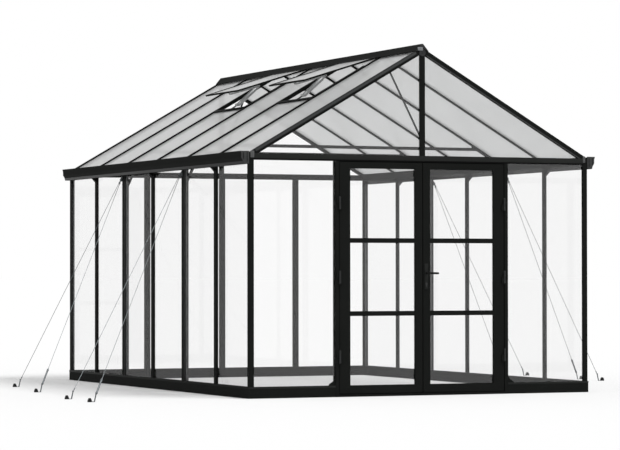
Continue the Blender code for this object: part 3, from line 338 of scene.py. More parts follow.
# Anthracite is the colour of the ridge caps and gaskets, and it also paints the highlights on the hinge
# barrels and the gutters' lower edges.
anthracite_and_highlight_nylon = moulded("anthracite_nylon_and_painted_highlight", "#282929", "#2e2f2f", 0.5, 0.15, 1.5 * MM)
# Jet black is the colour of the gutter brackets, and it also paints the shadow line under the front rail's
# cover.
bracket_and_shadow_black = moulded("jet_black_nylon_and_painted_shadow", "#080808", "#0c0c0c", 0.6, 0.05, 1.5 * MM)
rubber = moulded("extruded_rubber_seal", "#131313", "#1a1a1a", 0.85, 0.1, 2.5 * MM)
for material in (black_nylon, grey_and_highlight_nylon, pale_and_highlight_nylon, anthracite_and_highlight_nylon, bracket_and_shadow_black, rubber):
    print("made", material.name)

# %% [markdown]
# ## Dress the frame
# Each solid of the frame keeps its shape and only changes its material.  The names say which
# finish a piece has: sheets are called glazing, the roof and vent sheets are the hazy ones.

# %% Give each solid its finish
def finish_of(name):
    if name.startswith("guy"):
        return zinc_wire
    if "glazing" in name:
        if name.startswith(("roof", "vent")):
            return hazy_sheet
        return coated_sheet if name.endswith(("right", "back")) and "front" not in name else clear_sheet
    return black_coat


for name, piece in nodes.items():
    piece.data.materials.clear()
    piece.data.materials.append(finish_of(name))
print("dressed", len(nodes), "solids")

# %% [markdown]
# ## Tools for small parts
# Small metal parts are made in three ways: cut from flat or bent sheet, turned on a lathe, or bent
# from rod.  One mesh function stands for each way.  The cut parts get eased edges, because no real
# edge is perfectly sharp and the small round catches the light.

# %% Name a part and fix it to its body
def finish_piece(name, bm, material, body="frame"):
    bmesh.ops.recalc_face_normals(bm, faces=bm.faces)
    mesh = bpy.data.meshes.new(name)
    bm.to_mesh(mesh)
    bm.free()
    mesh.shade_smooth()
    mesh.set_sharp_from_angle(angle=math.radians(32.0))
    mesh.materials.append(material)
    piece = bpy.data.objects.new(name, mesh)
    bpy.context.scene.collection.objects.link(piece)
    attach(piece, body)
    return piece


print("edges sharper than 32 degrees stay crisp")


# %% Cut: a flat or folded part
def add_bar(bm, outline, along, edge):
    """Pushes an outline of points along a direction and eases all edges."""
    near = [bm.verts.new(point) for point in outline]
    far = [bm.verts.new(point + along) for point in outline]
    faces = [bm.faces.new(near), bm.faces.new(far[::-1])]
    for i in range(len(outline)):
        faces.append(bm.faces.new((near[i], near[i - 1], far[i - 1], far[i])))
    if edge > 0.0:
        edges = list(dict.fromkeys(e for face in faces for e in face.edges))
        bmesh.ops.bevel(bm, geom=edges, offset=edge, segments=2, profile=0.5, affect="EDGES")


def add_block(bm, low, high, edge):
    """A block between two corners, with eased edges."""
    corners = ((low[0], low[1]), (high[0], low[1]), (high[0], high[1]), (low[0], high[1]))
    outline = [Vector((x, y, low[2])) for x, y in corners]
    add_bar(bm, outline, Vector((0.0, 0.0, high[2] - low[2])), edge)


def add_slope_bar(bm, side, y, wide, run, heights, edge):
    """A bar down a roof slope, wide along y, with its run down the slope and its two heights."""
    (top, foot), (low, high) = run, heights
    outline = [roof_point(down, y, above, side)
               for down, above in ((top, low), (foot, low), (foot, high), (top, high))]
    add_bar(bm, outline, Vector((0.0, wide, 0.0)), edge)


print("a bar has two faces more than its outline has corners")


# %% Turned: a form spun round an axis
def add_turned(bm, start, toward, profile, sides=16):
    """Spins a profile of (distance along the axis, radius) round it; a radius of 0 closes an end."""
    axis = Vector(toward).normalized()
    side = axis.orthogonal().normalized()
    up = axis.cross(side)
    rings = []
    for along, radius in profile:
        centre = Vector(start) + axis * along
        turns = [2.0 * math.pi * i / sides for i in range(sides if radius > 0.0 else 1)]
        rings.append([bm.verts.new(centre + (side * math.cos(t) + up * math.sin(t)) * radius)
                      for t in turns])
    for near, far in zip(rings, rings[1:]):
        for i in range(sides):
            j = (i + 1) % sides
            corners = (near[i % len(near)], near[j % len(near)], far[j % len(far)], far[i % len(far)])
            bm.faces.new(list(dict.fromkeys(corners)))


def in_mm(profile):
    """A profile written in millimetres, as the metres that the scene is in."""
    return [(along * MM, radius * MM) for along, radius in profile]


print("a turned part of 16 sides turns", 360.0 / 16, "degrees a side")


# %% Bent: an oval rod along a path
def add_bent(bm, path, across, sections, sides=12):
    """Sweeps ovals along a path in one plane; a section is half its width across and half its depth."""
    side = Vector(across).normalized()
    rings = []
    for i, point in enumerate(path):
        along = (path[min(i + 1, len(path) - 1)] - path[max(i - 1, 0)]).normalized()
        up = along.cross(side)
        wide, deep = sections[i] if len(sections) > 1 else sections[0]
        turns = [2.0 * math.pi * k / sides for k in range(sides)]
        rings.append([bm.verts.new(point + side * math.cos(t) * wide + up * math.sin(t) * deep)
                      for t in turns])
    for near, far in zip(rings, rings[1:]):
        for i in range(sides):
            j = (i + 1) % sides
            bm.faces.new((near[i], near[j], far[j], far[i]))
    bm.faces.new(rings[0][::-1])
    bm.faces.new(rings[-1])


print("three tools are ready: cut, turned and bent")

# %% [markdown]
# ## Screws and bolts
# A pan head screw is a low dome with a round socket.  A bolt head is a lathe form with six sides,
# on a thin washer.  They sit a third of a millimetre deep in what they hold.  Both are turned forms,
# so the tool for turned parts makes them from a short profile, in any size and direction.

# %% Screw and bolt heads
screw_sides = 12


def add_screw(bm, place, outward, radius):
    r = radius
    add_turned(bm, place, outward, [(-0.3 * MM, 0.0), (-0.3 * MM, r), (0.3 * r, r), (0.65 * r, 0.78 * r),
                                    (0.65 * r, 0.42 * r), (0.25 * r, 0.36 * r), (0.25 * r, 0.0)],
               screw_sides)


def add_bolt(bm, place, outward, radius):
    r = radius
    add_turned(bm, place, outward, [(-0.3 * MM, 0.0), (-0.3 * MM, 1.5 * r), (0.12 * r, 1.5 * r),
                                    (0.12 * r, r)], 16)
    add_turned(bm, place, outward, [(0.0, 0.0), (0.0, r), (0.75 * r, r), (0.9 * r, 0.85 * r),
                                    (0.9 * r, 0.0)], 6)


print("a screw head has", screw_sides * 6, "faces, a bolt head fewer")

# %% [markdown]
# ## Caps on the ridge
# A hollow ridge is closed by a moulded plate at each gable, screwed on from outside.  Below it a
# round hub covers the joint where both gable rafters and the king post meet.  On the front gable a
# small bolted block of bright metal is a painted highlight, where the light catches the plate's
# upper left edge.  The plate is cut from its outline, which follows the two slopes, and the hub is
# turned, with the shallow ring that the mould leaves.

# %% Ridge caps, hubs and the painted highlight
def ridge_cap(name, face, out):
    wing = 54.0 * MM
    foot = apex - wing * math.tan(PITCH) + 1.0 * MM
    crest = ridge_top - 0.5 * MM
    shape = [(-wing, foot), (0.0, apex + 1.0 * MM), (wing, foot), (wing, foot + 4.0 * MM),
             (7.5 * MM, crest - 2.0 * MM), (5.5 * MM, crest), (-5.5 * MM, crest),
             (-7.5 * MM, crest - 2.0 * MM), (-wing, foot + 4.0 * MM)]
    bm = bmesh.new()
    start = face - 0.5 * MM * out
    add_bar(bm, [Vector((x, start, z)) for x, z in shape], Vector((0.0, 4.5 * MM * out, 0.0)), 0.6 * MM)
    for x in (-34.0 * MM, 34.0 * MM):
        add_screw(bm, (x, face + 4.0 * MM * out, apex - 10.5 * MM), (0.0, out, 0.0), 3.0 * MM)
    return finish_piece(name, bm, anthracite_and_highlight_nylon)


def ridge_hub(name, face, out):
    bm = bmesh.new()
    profile = [(-3.0, 0.0), (-3.0, 29.0), (4.5, 29.0), (6.0, 27.0), (6.0, 20.0), (5.0, 18.5), (5.0, 7.0),
               (7.5, 5.5), (7.5, 0.0)]
    add_turned(bm, (0.0, face, apex - 41.5 * MM), (0.0, out, 0.0), in_mm(profile), 40)
    return finish_piece(name, bm, anthracite_and_highlight_nylon)


# A block and bolt of bright steel on the front gable only: a painted highlight on the ridge's end.
def ridge_highlight_boss(name, face, out):
    bm = bmesh.new()
    foot, middle, head = 2.785, 2.800, 2.813
    front = face + 8.5 * MM * out
    add_block(bm, (-42.0 * MM, face, foot), (2.0 * MM, front, head), 2.0 * MM)
    add_bolt(bm, (-20.0 * MM, front, middle), (0.0, out, 0.0), 4.0 * MM)
    return finish_piece(name, bm, highlight_steel)


for word, face, out in (("front", front_face, -1.0), ("back", back_face - 5.0 * MM, 1.0)):
    ridge_cap("ridge_cap_" + word, face, out)
    ridge_hub("ridge_hub_" + word, face, out)
ridge_highlight_boss("ridge_highlight_boss_front", front_face, -1.0)
print("ridge closed at y", round(front_face, 3), "and", round(back_face, 3))

# %% [markdown]
# ## Ends of the gutters
# Each gutter ends in a grey moulded plate that follows its profile, with two dark ribs to stiffen
# it.  A moulded cleat holds the front corner where rail, rafter and gutter come together, and its
# pale grey partly paints the highlight on that corner.  The plate is cut from the gutter's own
# outline, so that it closes the trough.

# %% Gutter end plates and corner cleats
gutter_shape = ((1.0, 1849.0), (46.0, 1849.0), (50.0, 1870.0), (66.0, 1894.0), (66.0, 1930.0),
                (73.0, 1946.0), (73.0, 1949.5), (1.0, 1949.5))


def gutter_end(name, side, face, out):
    outline = [Vector((side * (half_width + x * MM), face - 0.5 * MM * out, z * MM))
               for x, z in gutter_shape]
    bm = bmesh.new()
    add_bar(bm, outline, Vector((0.0, 4.5 * MM * out, 0.0)), 0.8 * MM)
    return finish_piece(name, bm, grey_and_highlight_nylon)


def gutter_ribs(name, side, face, out):
    bm = bmesh.new()
    for x, low in ((18.0 * MM, 1.866), (49.0 * MM, 1.886)):
        place = side * (half_width + x)
        add_block(bm, (place - 3.0 * MM, face + 3.5 * MM * out, low),
                  (place + 3.0 * MM, face + 7.0 * MM * out, 1.940), 0.8 * MM)
    return finish_piece(name, bm, black_nylon)


# Pale grey cleat: a real part whose pale tone partly paints the highlight on the corner.
def corner_cleat(name, side, face, out, far, near):
    bm = bmesh.new()
    foot, head = 1.899, 1.952
    front = face + 6.5 * MM * out
    add_block(bm, (side * near, face, foot), (side * far, front, head), 1.2 * MM)
    for z in (foot + 13.0 * MM, head - 14.0 * MM):
        add_screw(bm, (side * (near + far) / 2.0, front, z), (0.0, out, 0.0), 3.5 * MM)
    return finish_piece(name, bm, pale_and_highlight_nylon)


for word, face, out in (("front", front_face, -1.0), ("back", back_face, 1.0)):
    for hand, side in (("left", -1.0), ("right", 1.0)):
        gutter_end("gutter_end_%s_%s" % (hand, word), side, face, out)
        gutter_ribs("gutter_ribs_%s_%s" % (hand, word), side, face, out)
cleat_inner = 1.471
corner_cleat("corner_cleat_left", -1.0, front_face, -1.0, cleat_inner + 32.0 * MM, cleat_inner)
corner_cleat("corner_cleat_right", 1.0, front_face, -1.0, cleat_inner + 21.0 * MM, cleat_inner)
print("gutters end at x", round(half_width + 74.0 * MM, 3))

# %% [markdown]
# ## Strips along the posts
# Each sheet of a side wall is clamped by rubber strips on both sides of its post, 10 mm wide on the
# rear side and 6 mm on the front one, so a post looks a little broader than the metal is.  The deep
# posts and the rear corners have a dark gasket in front instead, and behind the sheet a grey plate
# on the metal, which shows through the sheet as a paler edge.  The gable walls have thin beads on
# the metal's edges.  All of them are straight extrusions, so each is one block with eased edges.

# %% Rubber strips, gaskets and plates
strip_width = 10.0 * MM
bead = 3.0 * MM
sheet_inset = 11.7 * MM
strip_head = eave_under - 34.0 * MM
post_edge = 22.4 * MM
corner_width = 39.9 * MM
jamb_outer = 0.771


def side_strips(name, side):
    bm = bmesh.new()
    outer, inner = side * (half_width - 1.5 * MM), side * (half_width - sheet_inset)
    for n in range(1, 6):
        rear, front = post_y(n) + post_edge, post_y(n) - post_edge
        add_block(bm, (inner, rear, base_top), (outer, rear + strip_width, strip_head), 1.5 * MM)
        if n not in (2, 4):
            add_block(bm, (inner, front, base_top), (outer, front - 2.0 * bead, strip_head), 1.5 * MM)
    edge = front_face + corner_width
    add_block(bm, (inner, edge, base_top), (outer, edge + bead, strip_head), 1.0 * MM)
    return finish_piece(name, bm, rubber)


def post_strips(name, depths, post_strip, corner_strip, material):
    """Strips in front of the deep posts and the rear corners, between two depths in the wall."""
    bm = bmesh.new()
    places = [(post_y(2) - post_edge, post_strip), (post_y(4) - post_edge, post_strip),
              (back_face - corner_width, corner_strip)]
    for side in (-1.0, 1.0):
        outer, inner = [side * (half_width - depth) for depth in depths]
        for y, wide in places:
            add_block(bm, (inner, y, base_top), (outer, y - wide, strip_head), 0.5 * MM)
    return finish_piece(name, bm, material)


def end_beads(name, face, inward, posts):
    """Beads of a gable wall, given as (x of the metal's edge, direction of the sheet)."""
    bm = bmesh.new()
    for x, way in posts:
        add_block(bm, (x, face + inward * 3.5 * MM, base_top),
                  (x + way * bead, face + inward * sheet_inset, eave_low - 1.0 * MM), 1.0 * MM)
    return finish_piece(name, bm, rubber)


corner_edge = half_width - 40.0 * MM
side_strips("side_strips_left", -1.0)
side_strips("side_strips_right", 1.0)
post_strips("post_gaskets", (1.5 * MM, sheet_inset), 2.0 * bead, bead, anthracite_and_highlight_nylon)
post_strips("post_plates", (16.8 * MM, 32.0 * MM), 1.8 * MM, 1.8 * MM, pale_and_highlight_nylon)
end_beads("end_beads_front", front_face, 1.0, [(jamb_outer, 1.0), (corner_edge, -1.0)])
middles = [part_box("back_post_%d" % n) for n in (1, 2, 3)]
end_beads("end_beads_back", back_face, -1.0,
          [(-corner_edge, 1.0), (corner_edge, -1.0)] + [(low.x, -1.0) for low, high in middles]
          + [(high.x, 1.0) for low, high in middles])
print("strips run from", round(base_top, 3), "to", round(eave_low, 3))

# %% [markdown]
# ## Brackets under the gutters
# Under the gutter each slim post carries a black three-cornered bracket that props the gutter.
# Its outline bends outward like a knee, so it is cut as a thick plate, as broad as the post.

# %% Gutter brackets
def gutter_brackets(name, side):
    bm = bmesh.new()
    half_broad = 20.0 * MM
    shape = ((-0.5, 1.812), (4.0, 1.812), (36.0, 1.846), (44.0, 1.868), (44.0, 1.876), (-0.5, 1.876))
    for n in (1, 3, 5):
        outline = [Vector((side * (half_width + x * MM), post_y(n) - half_broad, z)) for x, z in shape]
        add_bar(bm, outline, Vector((0.0, 2.0 * half_broad, 0.0)), 1.5 * MM)
    return finish_piece(name, bm, bracket_and_shadow_black)


gutter_brackets("gutter_brackets_left", -1.0)
gutter_brackets("gutter_brackets_right", 1.0)
print("brackets at y", [round(post_y(n), 3) for n in (1, 3, 5)])

# %% [markdown]
# ## Ledges and cover strips, with painted light
# The base rails have a raised ledge along their upper edge, and the front rail a cover strip over
# its upper part, both in the paler trim coat that partly paints the light on tops and edges.  Under
# the cover a jet black strip is a painted shadow line below its lip, and along each gutter's lower
# edge a strip paler than the coat is a painted reflection of the white floor.  They are long straight
# extrusions, so the length comes from the frame.

# %% Ledges, cover, painted shadow and painted highlight strips
# The ledges' paler coat partly paints the light on the rails' top edge.
def base_ledges(name):
    bm = bmesh.new()
    low, high, out = 75.0 * MM, base_top - 0.2 * MM, 6.0 * MM
    for side in (-1.0, 1.0):
        add_block(bm, (side * (half_width - 2.0 * MM), front_face - out, low),
                  (side * (half_width + out), back_face, high), 1.2 * MM)
        add_block(bm, (side * (jamb_outer - 1.0 * MM), front_face - out, low),
                  (side * (half_width - 1.0 * MM), front_face, high), 1.2 * MM)
    return finish_piece(name, bm, trim_and_highlight_coat)


def rail_strip(name, proud, heights, edge, material):
    """A strip over the whole front rail, so far proud of it, between two heights over its foot."""
    bm = bmesh.new()
    reach, (low, high) = beam_half + 2.3 * MM, heights
    add_block(bm, (-reach, front_face - proud, eave_low + low),
              (reach, front_face - 3.0 * MM, eave_low + high), edge)
    return finish_piece(name, bm, material)


# A strip paler than the coat on the gutter's lower edge: a painted reflection of the white floor.
def gutter_highlight_strip(name, side):
    bm = bmesh.new()
    shape = ((44.0, 1.8485), (47.3, 1.8485), (51.3, 1.8705), (48.0, 1.8705))
    outline = [Vector((side * (half_width + x * MM), front_face + 1.0 * MM, z)) for x, z in shape]
    add_bar(bm, outline, Vector((0.0, back_face - front_face - 2.0 * MM, 0.0)), 0.6 * MM)
    return finish_piece(name, bm, anthracite_and_highlight_nylon)


base_ledges("base_ledges")
# The cover's paler coat partly paints the light on the rail's upper part.
rail_strip("front_rail_cover", 6.0 * MM, (23.0 * MM, 63.5 * MM), 1.0 * MM, trim_and_highlight_coat)
# Jet black strip under the cover: a painted shadow line below its lip.
rail_strip("front_rail_painted_shadow", 4.6 * MM, (13.5 * MM, 22.5 * MM), 0.5 * MM, bracket_and_shadow_black)
gutter_highlight_strip("gutter_highlight_strip_left", -1.0)
gutter_highlight_strip("gutter_highlight_strip_right", 1.0)
print("ledges top at", round(base_top, 3))

# %% [markdown]
# ## Strips on the roof
# A grey seal lies behind the cap of the front gable rafter.  The face of that rafter carries a paler
# strip that is a painted highlight of its lit edge, above on the left slope and below on the right
# one.  The other rafters of the left slope have rubber lips on their rear side, a little higher where
# a vent shuts on them.  Each strip runs down the slope, so one tool places it by its distance from
# the ridge and its height on the slope.  The round brace from the king post to the ridge wears a thin
# sleeve over its middle.

# %% Seals, painted highlight strips and sleeves
slope_run = (0.070, 1.690)
gable_depth = 41.5 * MM


def gable_seal(name):
    bm = bmesh.new()
    for side in (-1.0, 1.0):
        add_slope_bar(bm, side, front_face + 39.0 * MM, 22.0 * MM, slope_run, (-9.0 * MM, -1.5 * MM),
                      0.5 * MM)
    return finish_piece(name, bm, pale_and_highlight_nylon)


# A paler strip on the gable rafter's face: a painted highlight of its lit edge.
def gable_painted_highlight(name):
    bm = bmesh.new()
    for side, low, high in ((-1.0, -20.0 * MM, -1.0 * MM), (1.0, -gable_depth, -gable_depth + 8.5 * MM)):
        add_slope_bar(bm, side, front_face - 1.8 * MM, 4.0 * MM, slope_run, (low, high), 0.6 * MM)
    return finish_piece(name, bm, grey_and_highlight_nylon)


def rafter_seals(name):
    bm = bmesh.new()
    beside_vents = (1, 3)
    sheet, lip, crest = -10.7 * MM, -1.5 * MM, 3.0 * MM
    under_vent, along_vent = (0.790, slope_run[1]), (0.200, 0.760)
    lips = [(n, under_vent if n in beside_vents else slope_run, lip) for n in range(1, 6)]
    lips += [(n, along_vent, crest) for n in beside_vents]
    for n, run, height in lips:
        add_slope_bar(bm, -1.0, post_y(n) + 12.2 * MM, 22.0 * MM, run, (sheet, height), 1.0 * MM)
    return finish_piece(name, bm, rubber)


def brace_sleeve(name, face, inward):
    bm = bmesh.new()
    foot = Vector((0.0, face + 15.5 * MM * inward, 2.064))
    head = Vector((0.0, face + bay * inward, 2.763))
    bore, outer, start = 6.2 * MM, 8.0 * MM, 30.0 * MM
    end = (head - foot).length - start
    add_turned(bm, foot, head - foot,
               [(start, bore), (start, outer), (end, outer), (end, bore), (start, bore)], 12)
    return finish_piece(name, bm, trim_and_highlight_coat)


gable_seal("gable_seal")
gable_painted_highlight("gable_painted_highlight")
rafter_seals("rafter_seals_left")
brace_sleeve("brace_sleeve_front", front_face, 1.0)
brace_sleeve("brace_sleeve_back", back_face, -1.0)
print("strips run", slope_run, "m down the slopes")

# %% [markdown]
# ## Gussets and screws of the frame
# Small three-cornered gussets tie the door jambs to the base rail.  Pan head screws hold the posts
# at the foot and the corners also at the head, and bolts with washers hold the knees of the two
# roof ties.  They are coated with the frame, so they are black too.

# %% Gussets, screws and bolts
def jamb_gussets(name):
    bm = bmesh.new()
    near = jamb_outer + 0.5 * MM
    shape = ((near, base_top), (0.828, base_top), (0.822, 0.104), (near, 0.136))
    for side in (-1.0, 1.0):
        outline = [Vector((side * x, front_face + 1.0 * MM, z)) for x, z in shape]
        add_bar(bm, outline, Vector((0.0, 10.0 * MM, 0.0)), 0.8 * MM)
    return finish_piece(name, bm, black_coat)


def wall_screws(name):
    bm = bmesh.new()
    rail_face = half_width + 4.0 * MM
    corner_middle = half_width - 20.0 * MM
    for side in (-1.0, 1.0):
        for n in range(1, 6):
            for z in (base_top + 18.0 * MM, base_top + 34.0 * MM):
                add_screw(bm, (side * half_width, post_y(n), z), (side, 0.0, 0.0), 3.5 * MM)
            add_screw(bm, (side * rail_face, post_y(n), 45.0 * MM), (side, 0.0, 0.0), 4.0 * MM)
        for z in (base_top + 20.0 * MM, 1.840):
            for face, out in ((front_face, -1.0), (back_face, 1.0)):
                add_screw(bm, (side * corner_middle, face, z), (0.0, out, 0.0), 3.5 * MM)
    return finish_piece(name, bm, black_coat)


def knee_bolts(name, y):
    bm = bmesh.new()
    half_thick = 9.7 * MM
    foot, elbow, tie = [(1.455, 1.794)], [(1.392, 1.931)], [(1.160, 2.064), (1.060, 2.064)]
    for side in (-1.0, 1.0):
        for x, z in foot + elbow + tie:
            for out in (-1.0, 1.0):
                add_bolt(bm, (side * x, y + out * half_thick, z), (0.0, out, 0.0), 4.0 * MM)
    return finish_piece(name, bm, black_coat)


jamb_gussets("jamb_gussets")
wall_screws("wall_screws")
knee_bolts("knee_bolts_front", post_y(2))
knee_bolts("knee_bolts_rear", post_y(4))
print("trusses at y", round(post_y(2), 3), "and", round(post_y(4), 3))

# %% [markdown]
# ## Hinges
# A barrel hinge is two knuckles on one pin.  The upper knuckle stays on the jamb and the lower one
# turns with the leaf, so they are two pieces that ride on different bodies, 2 mm apart.  A lathe
# profile gives them their collars and the domed end.  Their anthracite, paler than the coat, partly
# paints the highlights on the round barrels.

# %% Hinge knuckles
hinge_heights = (0.318, 0.953, 1.547)
hinge_axis = front_face - 12.5 * MM
hinge_x = 0.737


def hinge_knuckles(name, side, up, body):
    bm = bmesh.new()
    profile = [(1.0, 0.0), (1.0, 8.2), (3.0, 8.8), (7.0, 8.8), (9.0, 7.8), (38.0, 7.8), (40.0, 8.8),
               (47.5, 8.8), (50.0, 7.0), (52.0, 3.5), (52.5, 0.0)]
    for height in hinge_heights:
        add_turned(bm, (side * hinge_x, hinge_axis, height), (0.0, 0.0, up), in_mm(profile), 20)
    return finish_piece(name, bm, anthracite_and_highlight_nylon, body=body)


for hand, side in (("left", -1.0), ("right", 1.0)):
    hinge_knuckles("hinge_uppers_" + hand, side, 1.0, "frame")
    hinge_knuckles("hinge_lowers_" + hand, side, -1.0, hand + "_door")
print("hinges turn about y", round(hinge_axis, 4))

# %% [markdown]
# ## Lock plate and lever
# The narrow plate has a bevelled rim, a rose round the spindle and a key cylinder near its foot.
# The lever is one bent rod, oval and slimmer to its tip, on both faces of the leaf, and it takes
# the place of the simple one in the frame.  An oval swept along the grip gives that taper, which a
# straight cylinder could not.

# %% Lock plates and key cylinder
handle_x, handle_z = 29.5 * MM, 0.986
leaf_front = front_face - 3.0 * MM
leaf_back = leaf_front + 36.0 * MM
leaf_faces = ((leaf_front, -1.0), (leaf_back, 1.0))
plate_low, plate_high = 0.857, 1.063


# The plates' paler coat partly paints the highlights on their rims.
def lock_plates(name):
    bm = bmesh.new()
    rose = [(2.0, 15.5), (6.5, 15.5), (8.0, 14.0), (8.0, 9.5), (2.0, 9.5), (2.0, 15.5)]
    for face, out in leaf_faces:
        for low, high in ((plate_low, handle_z - 11.5 * MM), (handle_z + 11.5 * MM, plate_high)):
            add_block(bm, (handle_x - 16.0 * MM, face + 1.0 * MM * out, low),
                      (handle_x + 16.0 * MM, face + 5.5 * MM * out, high), 1.8 * MM)
        add_turned(bm, (handle_x, face, handle_z), (0.0, out, 0.0), in_mm(rose), 32)
        for z in (plate_low + 11.0 * MM, plate_high - 11.0 * MM):
            add_screw(bm, (handle_x, face + 5.5 * MM * out, z), (0.0, out, 0.0), 3.2 * MM)
    return finish_piece(name, bm, trim_and_highlight_coat, body="right_door")


def key_cylinder(name):
    bm = bmesh.new()
    key_z = 0.900
    profile = [(4.0, 0.0), (4.0, 8.5), (8.0, 8.5), (9.0, 7.5), (9.0, 2.0), (7.5, 1.6), (7.5, 0.0)]
    for face, out in leaf_faces:
        add_turned(bm, (handle_x, face, key_z), (0.0, out, 0.0), in_mm(profile), 24)
        add_block(bm, (handle_x - 4.0 * MM, face + 4.0 * MM * out, key_z - 24.0 * MM),
                  (handle_x + 4.0 * MM, face + 8.5 * MM * out, key_z - 6.0 * MM), 1.5 * MM)
    return finish_piece(name, bm, grey_and_highlight_nylon, body="right_door")


lock_plates("lock_plates")
key_cylinder("key_cylinder")
print("lock plate at height", handle_z)


# %% Lever
lever_tip = 99.7
stand_off = 34.0 * MM


def lever(name):
    bm = bmesh.new()
    spindle, reach = 7.0 * MM, leaf_back - leaf_front + 2.0 * stand_off
    add_turned(bm, (handle_x, leaf_front - stand_off, handle_z), (0.0, 1.0, 0.0),
               [(0.0, 0.0), (0.0, spindle), (reach, spindle), (reach, 0.0)], 24)
    collar = [(9.0, 7.0), (9.0, 9.0), (20.0, 8.4), (30.0, 7.6), (30.0, 6.9)]
    steps = [(-8.5, 3.0, 3.0), (-7.0, 6.5, 4.5), (-3.0, 8.4, 5.3), (6.0, 8.8, 5.4), (25.0, 8.6, 5.2),
             (50.0, 8.4, 5.0), (80.0, 8.2, 4.9), (94.0, 7.8, 4.7), (98.0, 6.0, 4.0), (lever_tip, 3.0, 2.0)]
    for face, out in leaf_faces:
        add_turned(bm, (handle_x, face, handle_z), (0.0, out, 0.0), in_mm(collar), 24)
        path = [Vector((handle_x + along * MM, face + stand_off * out, handle_z - 0.010 * along * MM))
                for along, wide, deep in steps]
        add_bent(bm, path, (0.0, 0.0, 1.0), [(wide * MM, deep * MM) for along, wide, deep in steps], 16)
    return finish_piece(name, bm, black_coat, body="lever")


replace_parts(lever("lever_rod"), "door_handle")
print("lever reaches", round(handle_x + lever_tip * MM, 3))

# %% [markdown]
# ## Vent openers
# A wax cylinder opens the vents when it gets warm.  It stands on a bracket at the vent's sill and
# pushes a joint, from which a flat arm runs back under the sash.  The cylinder is turned and the arm
# is cut as two flat cheeks with a bolt at each joint.  All of it is anodised aluminium.

# %% Vent openers
def vent_opener(name, y):
    foot, head = Vector((-0.5645, y, 2.4773)), Vector((-0.3248, y, 2.6889))
    bm = bmesh.new()
    profile = [(-14.0, 0.0), (-14.0, 9.0), (-8.0, 13.0), (-4.0, 18.0), (26.0, 18.0), (29.0, 16.5),
               (33.0, 18.0), (214.0, 18.0), (220.0, 14.5), (250.0, 14.5), (253.0, 12.0), (253.0, 0.0)]
    add_turned(bm, foot, head - foot, in_mm(profile), 28)
    elbow, pivot, tip = Vector((-0.374, y, 2.645)), Vector((-0.535, y, 2.598)), Vector((-0.640, y, 2.567))
    along = (tip - elbow).normalized()
    up = Vector((0.0, 1.0, 0.0)).cross(along).normalized()
    cheek = Vector((0.0, 15.0 * MM, 0.0))
    for hand in (-1.0, 1.0):
        middle = Vector((0.0, hand * 12.0 * MM, 0.0))
        outline = [elbow + middle + up * 8.0 * MM - along * 8.0 * MM,
                   elbow + middle - up * 8.0 * MM - along * 8.0 * MM,
                   tip + middle - up * 6.0 * MM, tip + middle + up * 6.0 * MM]
        add_bar(bm, outline, Vector((0.0, hand * 3.0 * MM, 0.0)), 0.8 * MM)
        add_bolt(bm, pivot + hand * cheek, (0.0, hand, 0.0), 5.0 * MM)
        add_bolt(bm, elbow + hand * cheek, (0.0, hand, 0.0), 6.0 * MM)
    add_turned(bm, elbow - cheek, cheek, in_mm([(0.0, 0.0), (0.0, 6.0), (30.0, 6.0), (30.0, 0.0)]), 16)
    return finish_piece(name, bm, anodised)


def opener_foot(name, y):
    bm = bmesh.new()
    add_block(bm, (-0.592, y - 20.0 * MM, 2.4600), (-0.572, y + 20.0 * MM, 2.4860), 2.0 * MM)
    add_block(bm, (-0.652, y - 18.0 * MM, 2.5640), (-0.628, y + 18.0 * MM, 2.5770), 1.5 * MM)
    return finish_piece(name, bm, anodised)


for word, number in (("front", 1.5), ("rear", 3.5)):
    vent_opener("vent_opener_" + word, post_y(number))
    opener_foot("vent_opener_foot_" + word, post_y(number))
print("openers at y", round(post_y(1.5), 3), "and", round(post_y(3.5), 3))

# %% [markdown]
# ## Fittings of the guy wires
# Each wire is looped round its pin and pressed shut with a ferrule.  The second wire of a pair ends
# in a turnbuckle: a sleeve with a lock nut at each end.  The wires hook onto steel stakes, and a
# black moulded peg holds each stake.  The places of the stakes, given as the way out from the wall
# and along it from the post, are all that differs between the pairs, so one recipe makes them all.

# %% Where the wires run
guy_feet = {
    "left_front": ((1.290, -0.936), (1.290, -1.486)), "left_rear": ((0.940, 0.060), (1.106, -1.055)),
    "right_front": ((1.290, 0.654), (1.290, 1.047)), "right_rear": ((1.290, 0.648), (1.290, 1.097)),
}
eye_out, eye_height = 22.3 * MM, 1.808
hook_back, hook_height = 14.0 * MM, 60.0 * MM


def guy_lines(word):
    """Eye, hook and stake of both wires of a pair."""
    side = -1.0 if word.startswith("left") else 1.0
    y = post_y(2 if word.endswith("front") else 4)
    lines = []
    for rise, (reach, shift) in zip((6.0 * MM, -6.0 * MM), guy_feet[word]):
        eye = Vector((side * (half_width + eye_out), y, eye_height + rise))
        stake = Vector((side * (half_width + reach), y + shift, 0.0))
        lines.append((eye, stake + Vector((-side * hook_back, 0.0, hook_height)), stake))
    return side, lines


for word in guy_feet:
    print(word, "wires are", [round((hook - eye).length, 2) for eye, hook, stake in guy_lines(word)[1]], "m")


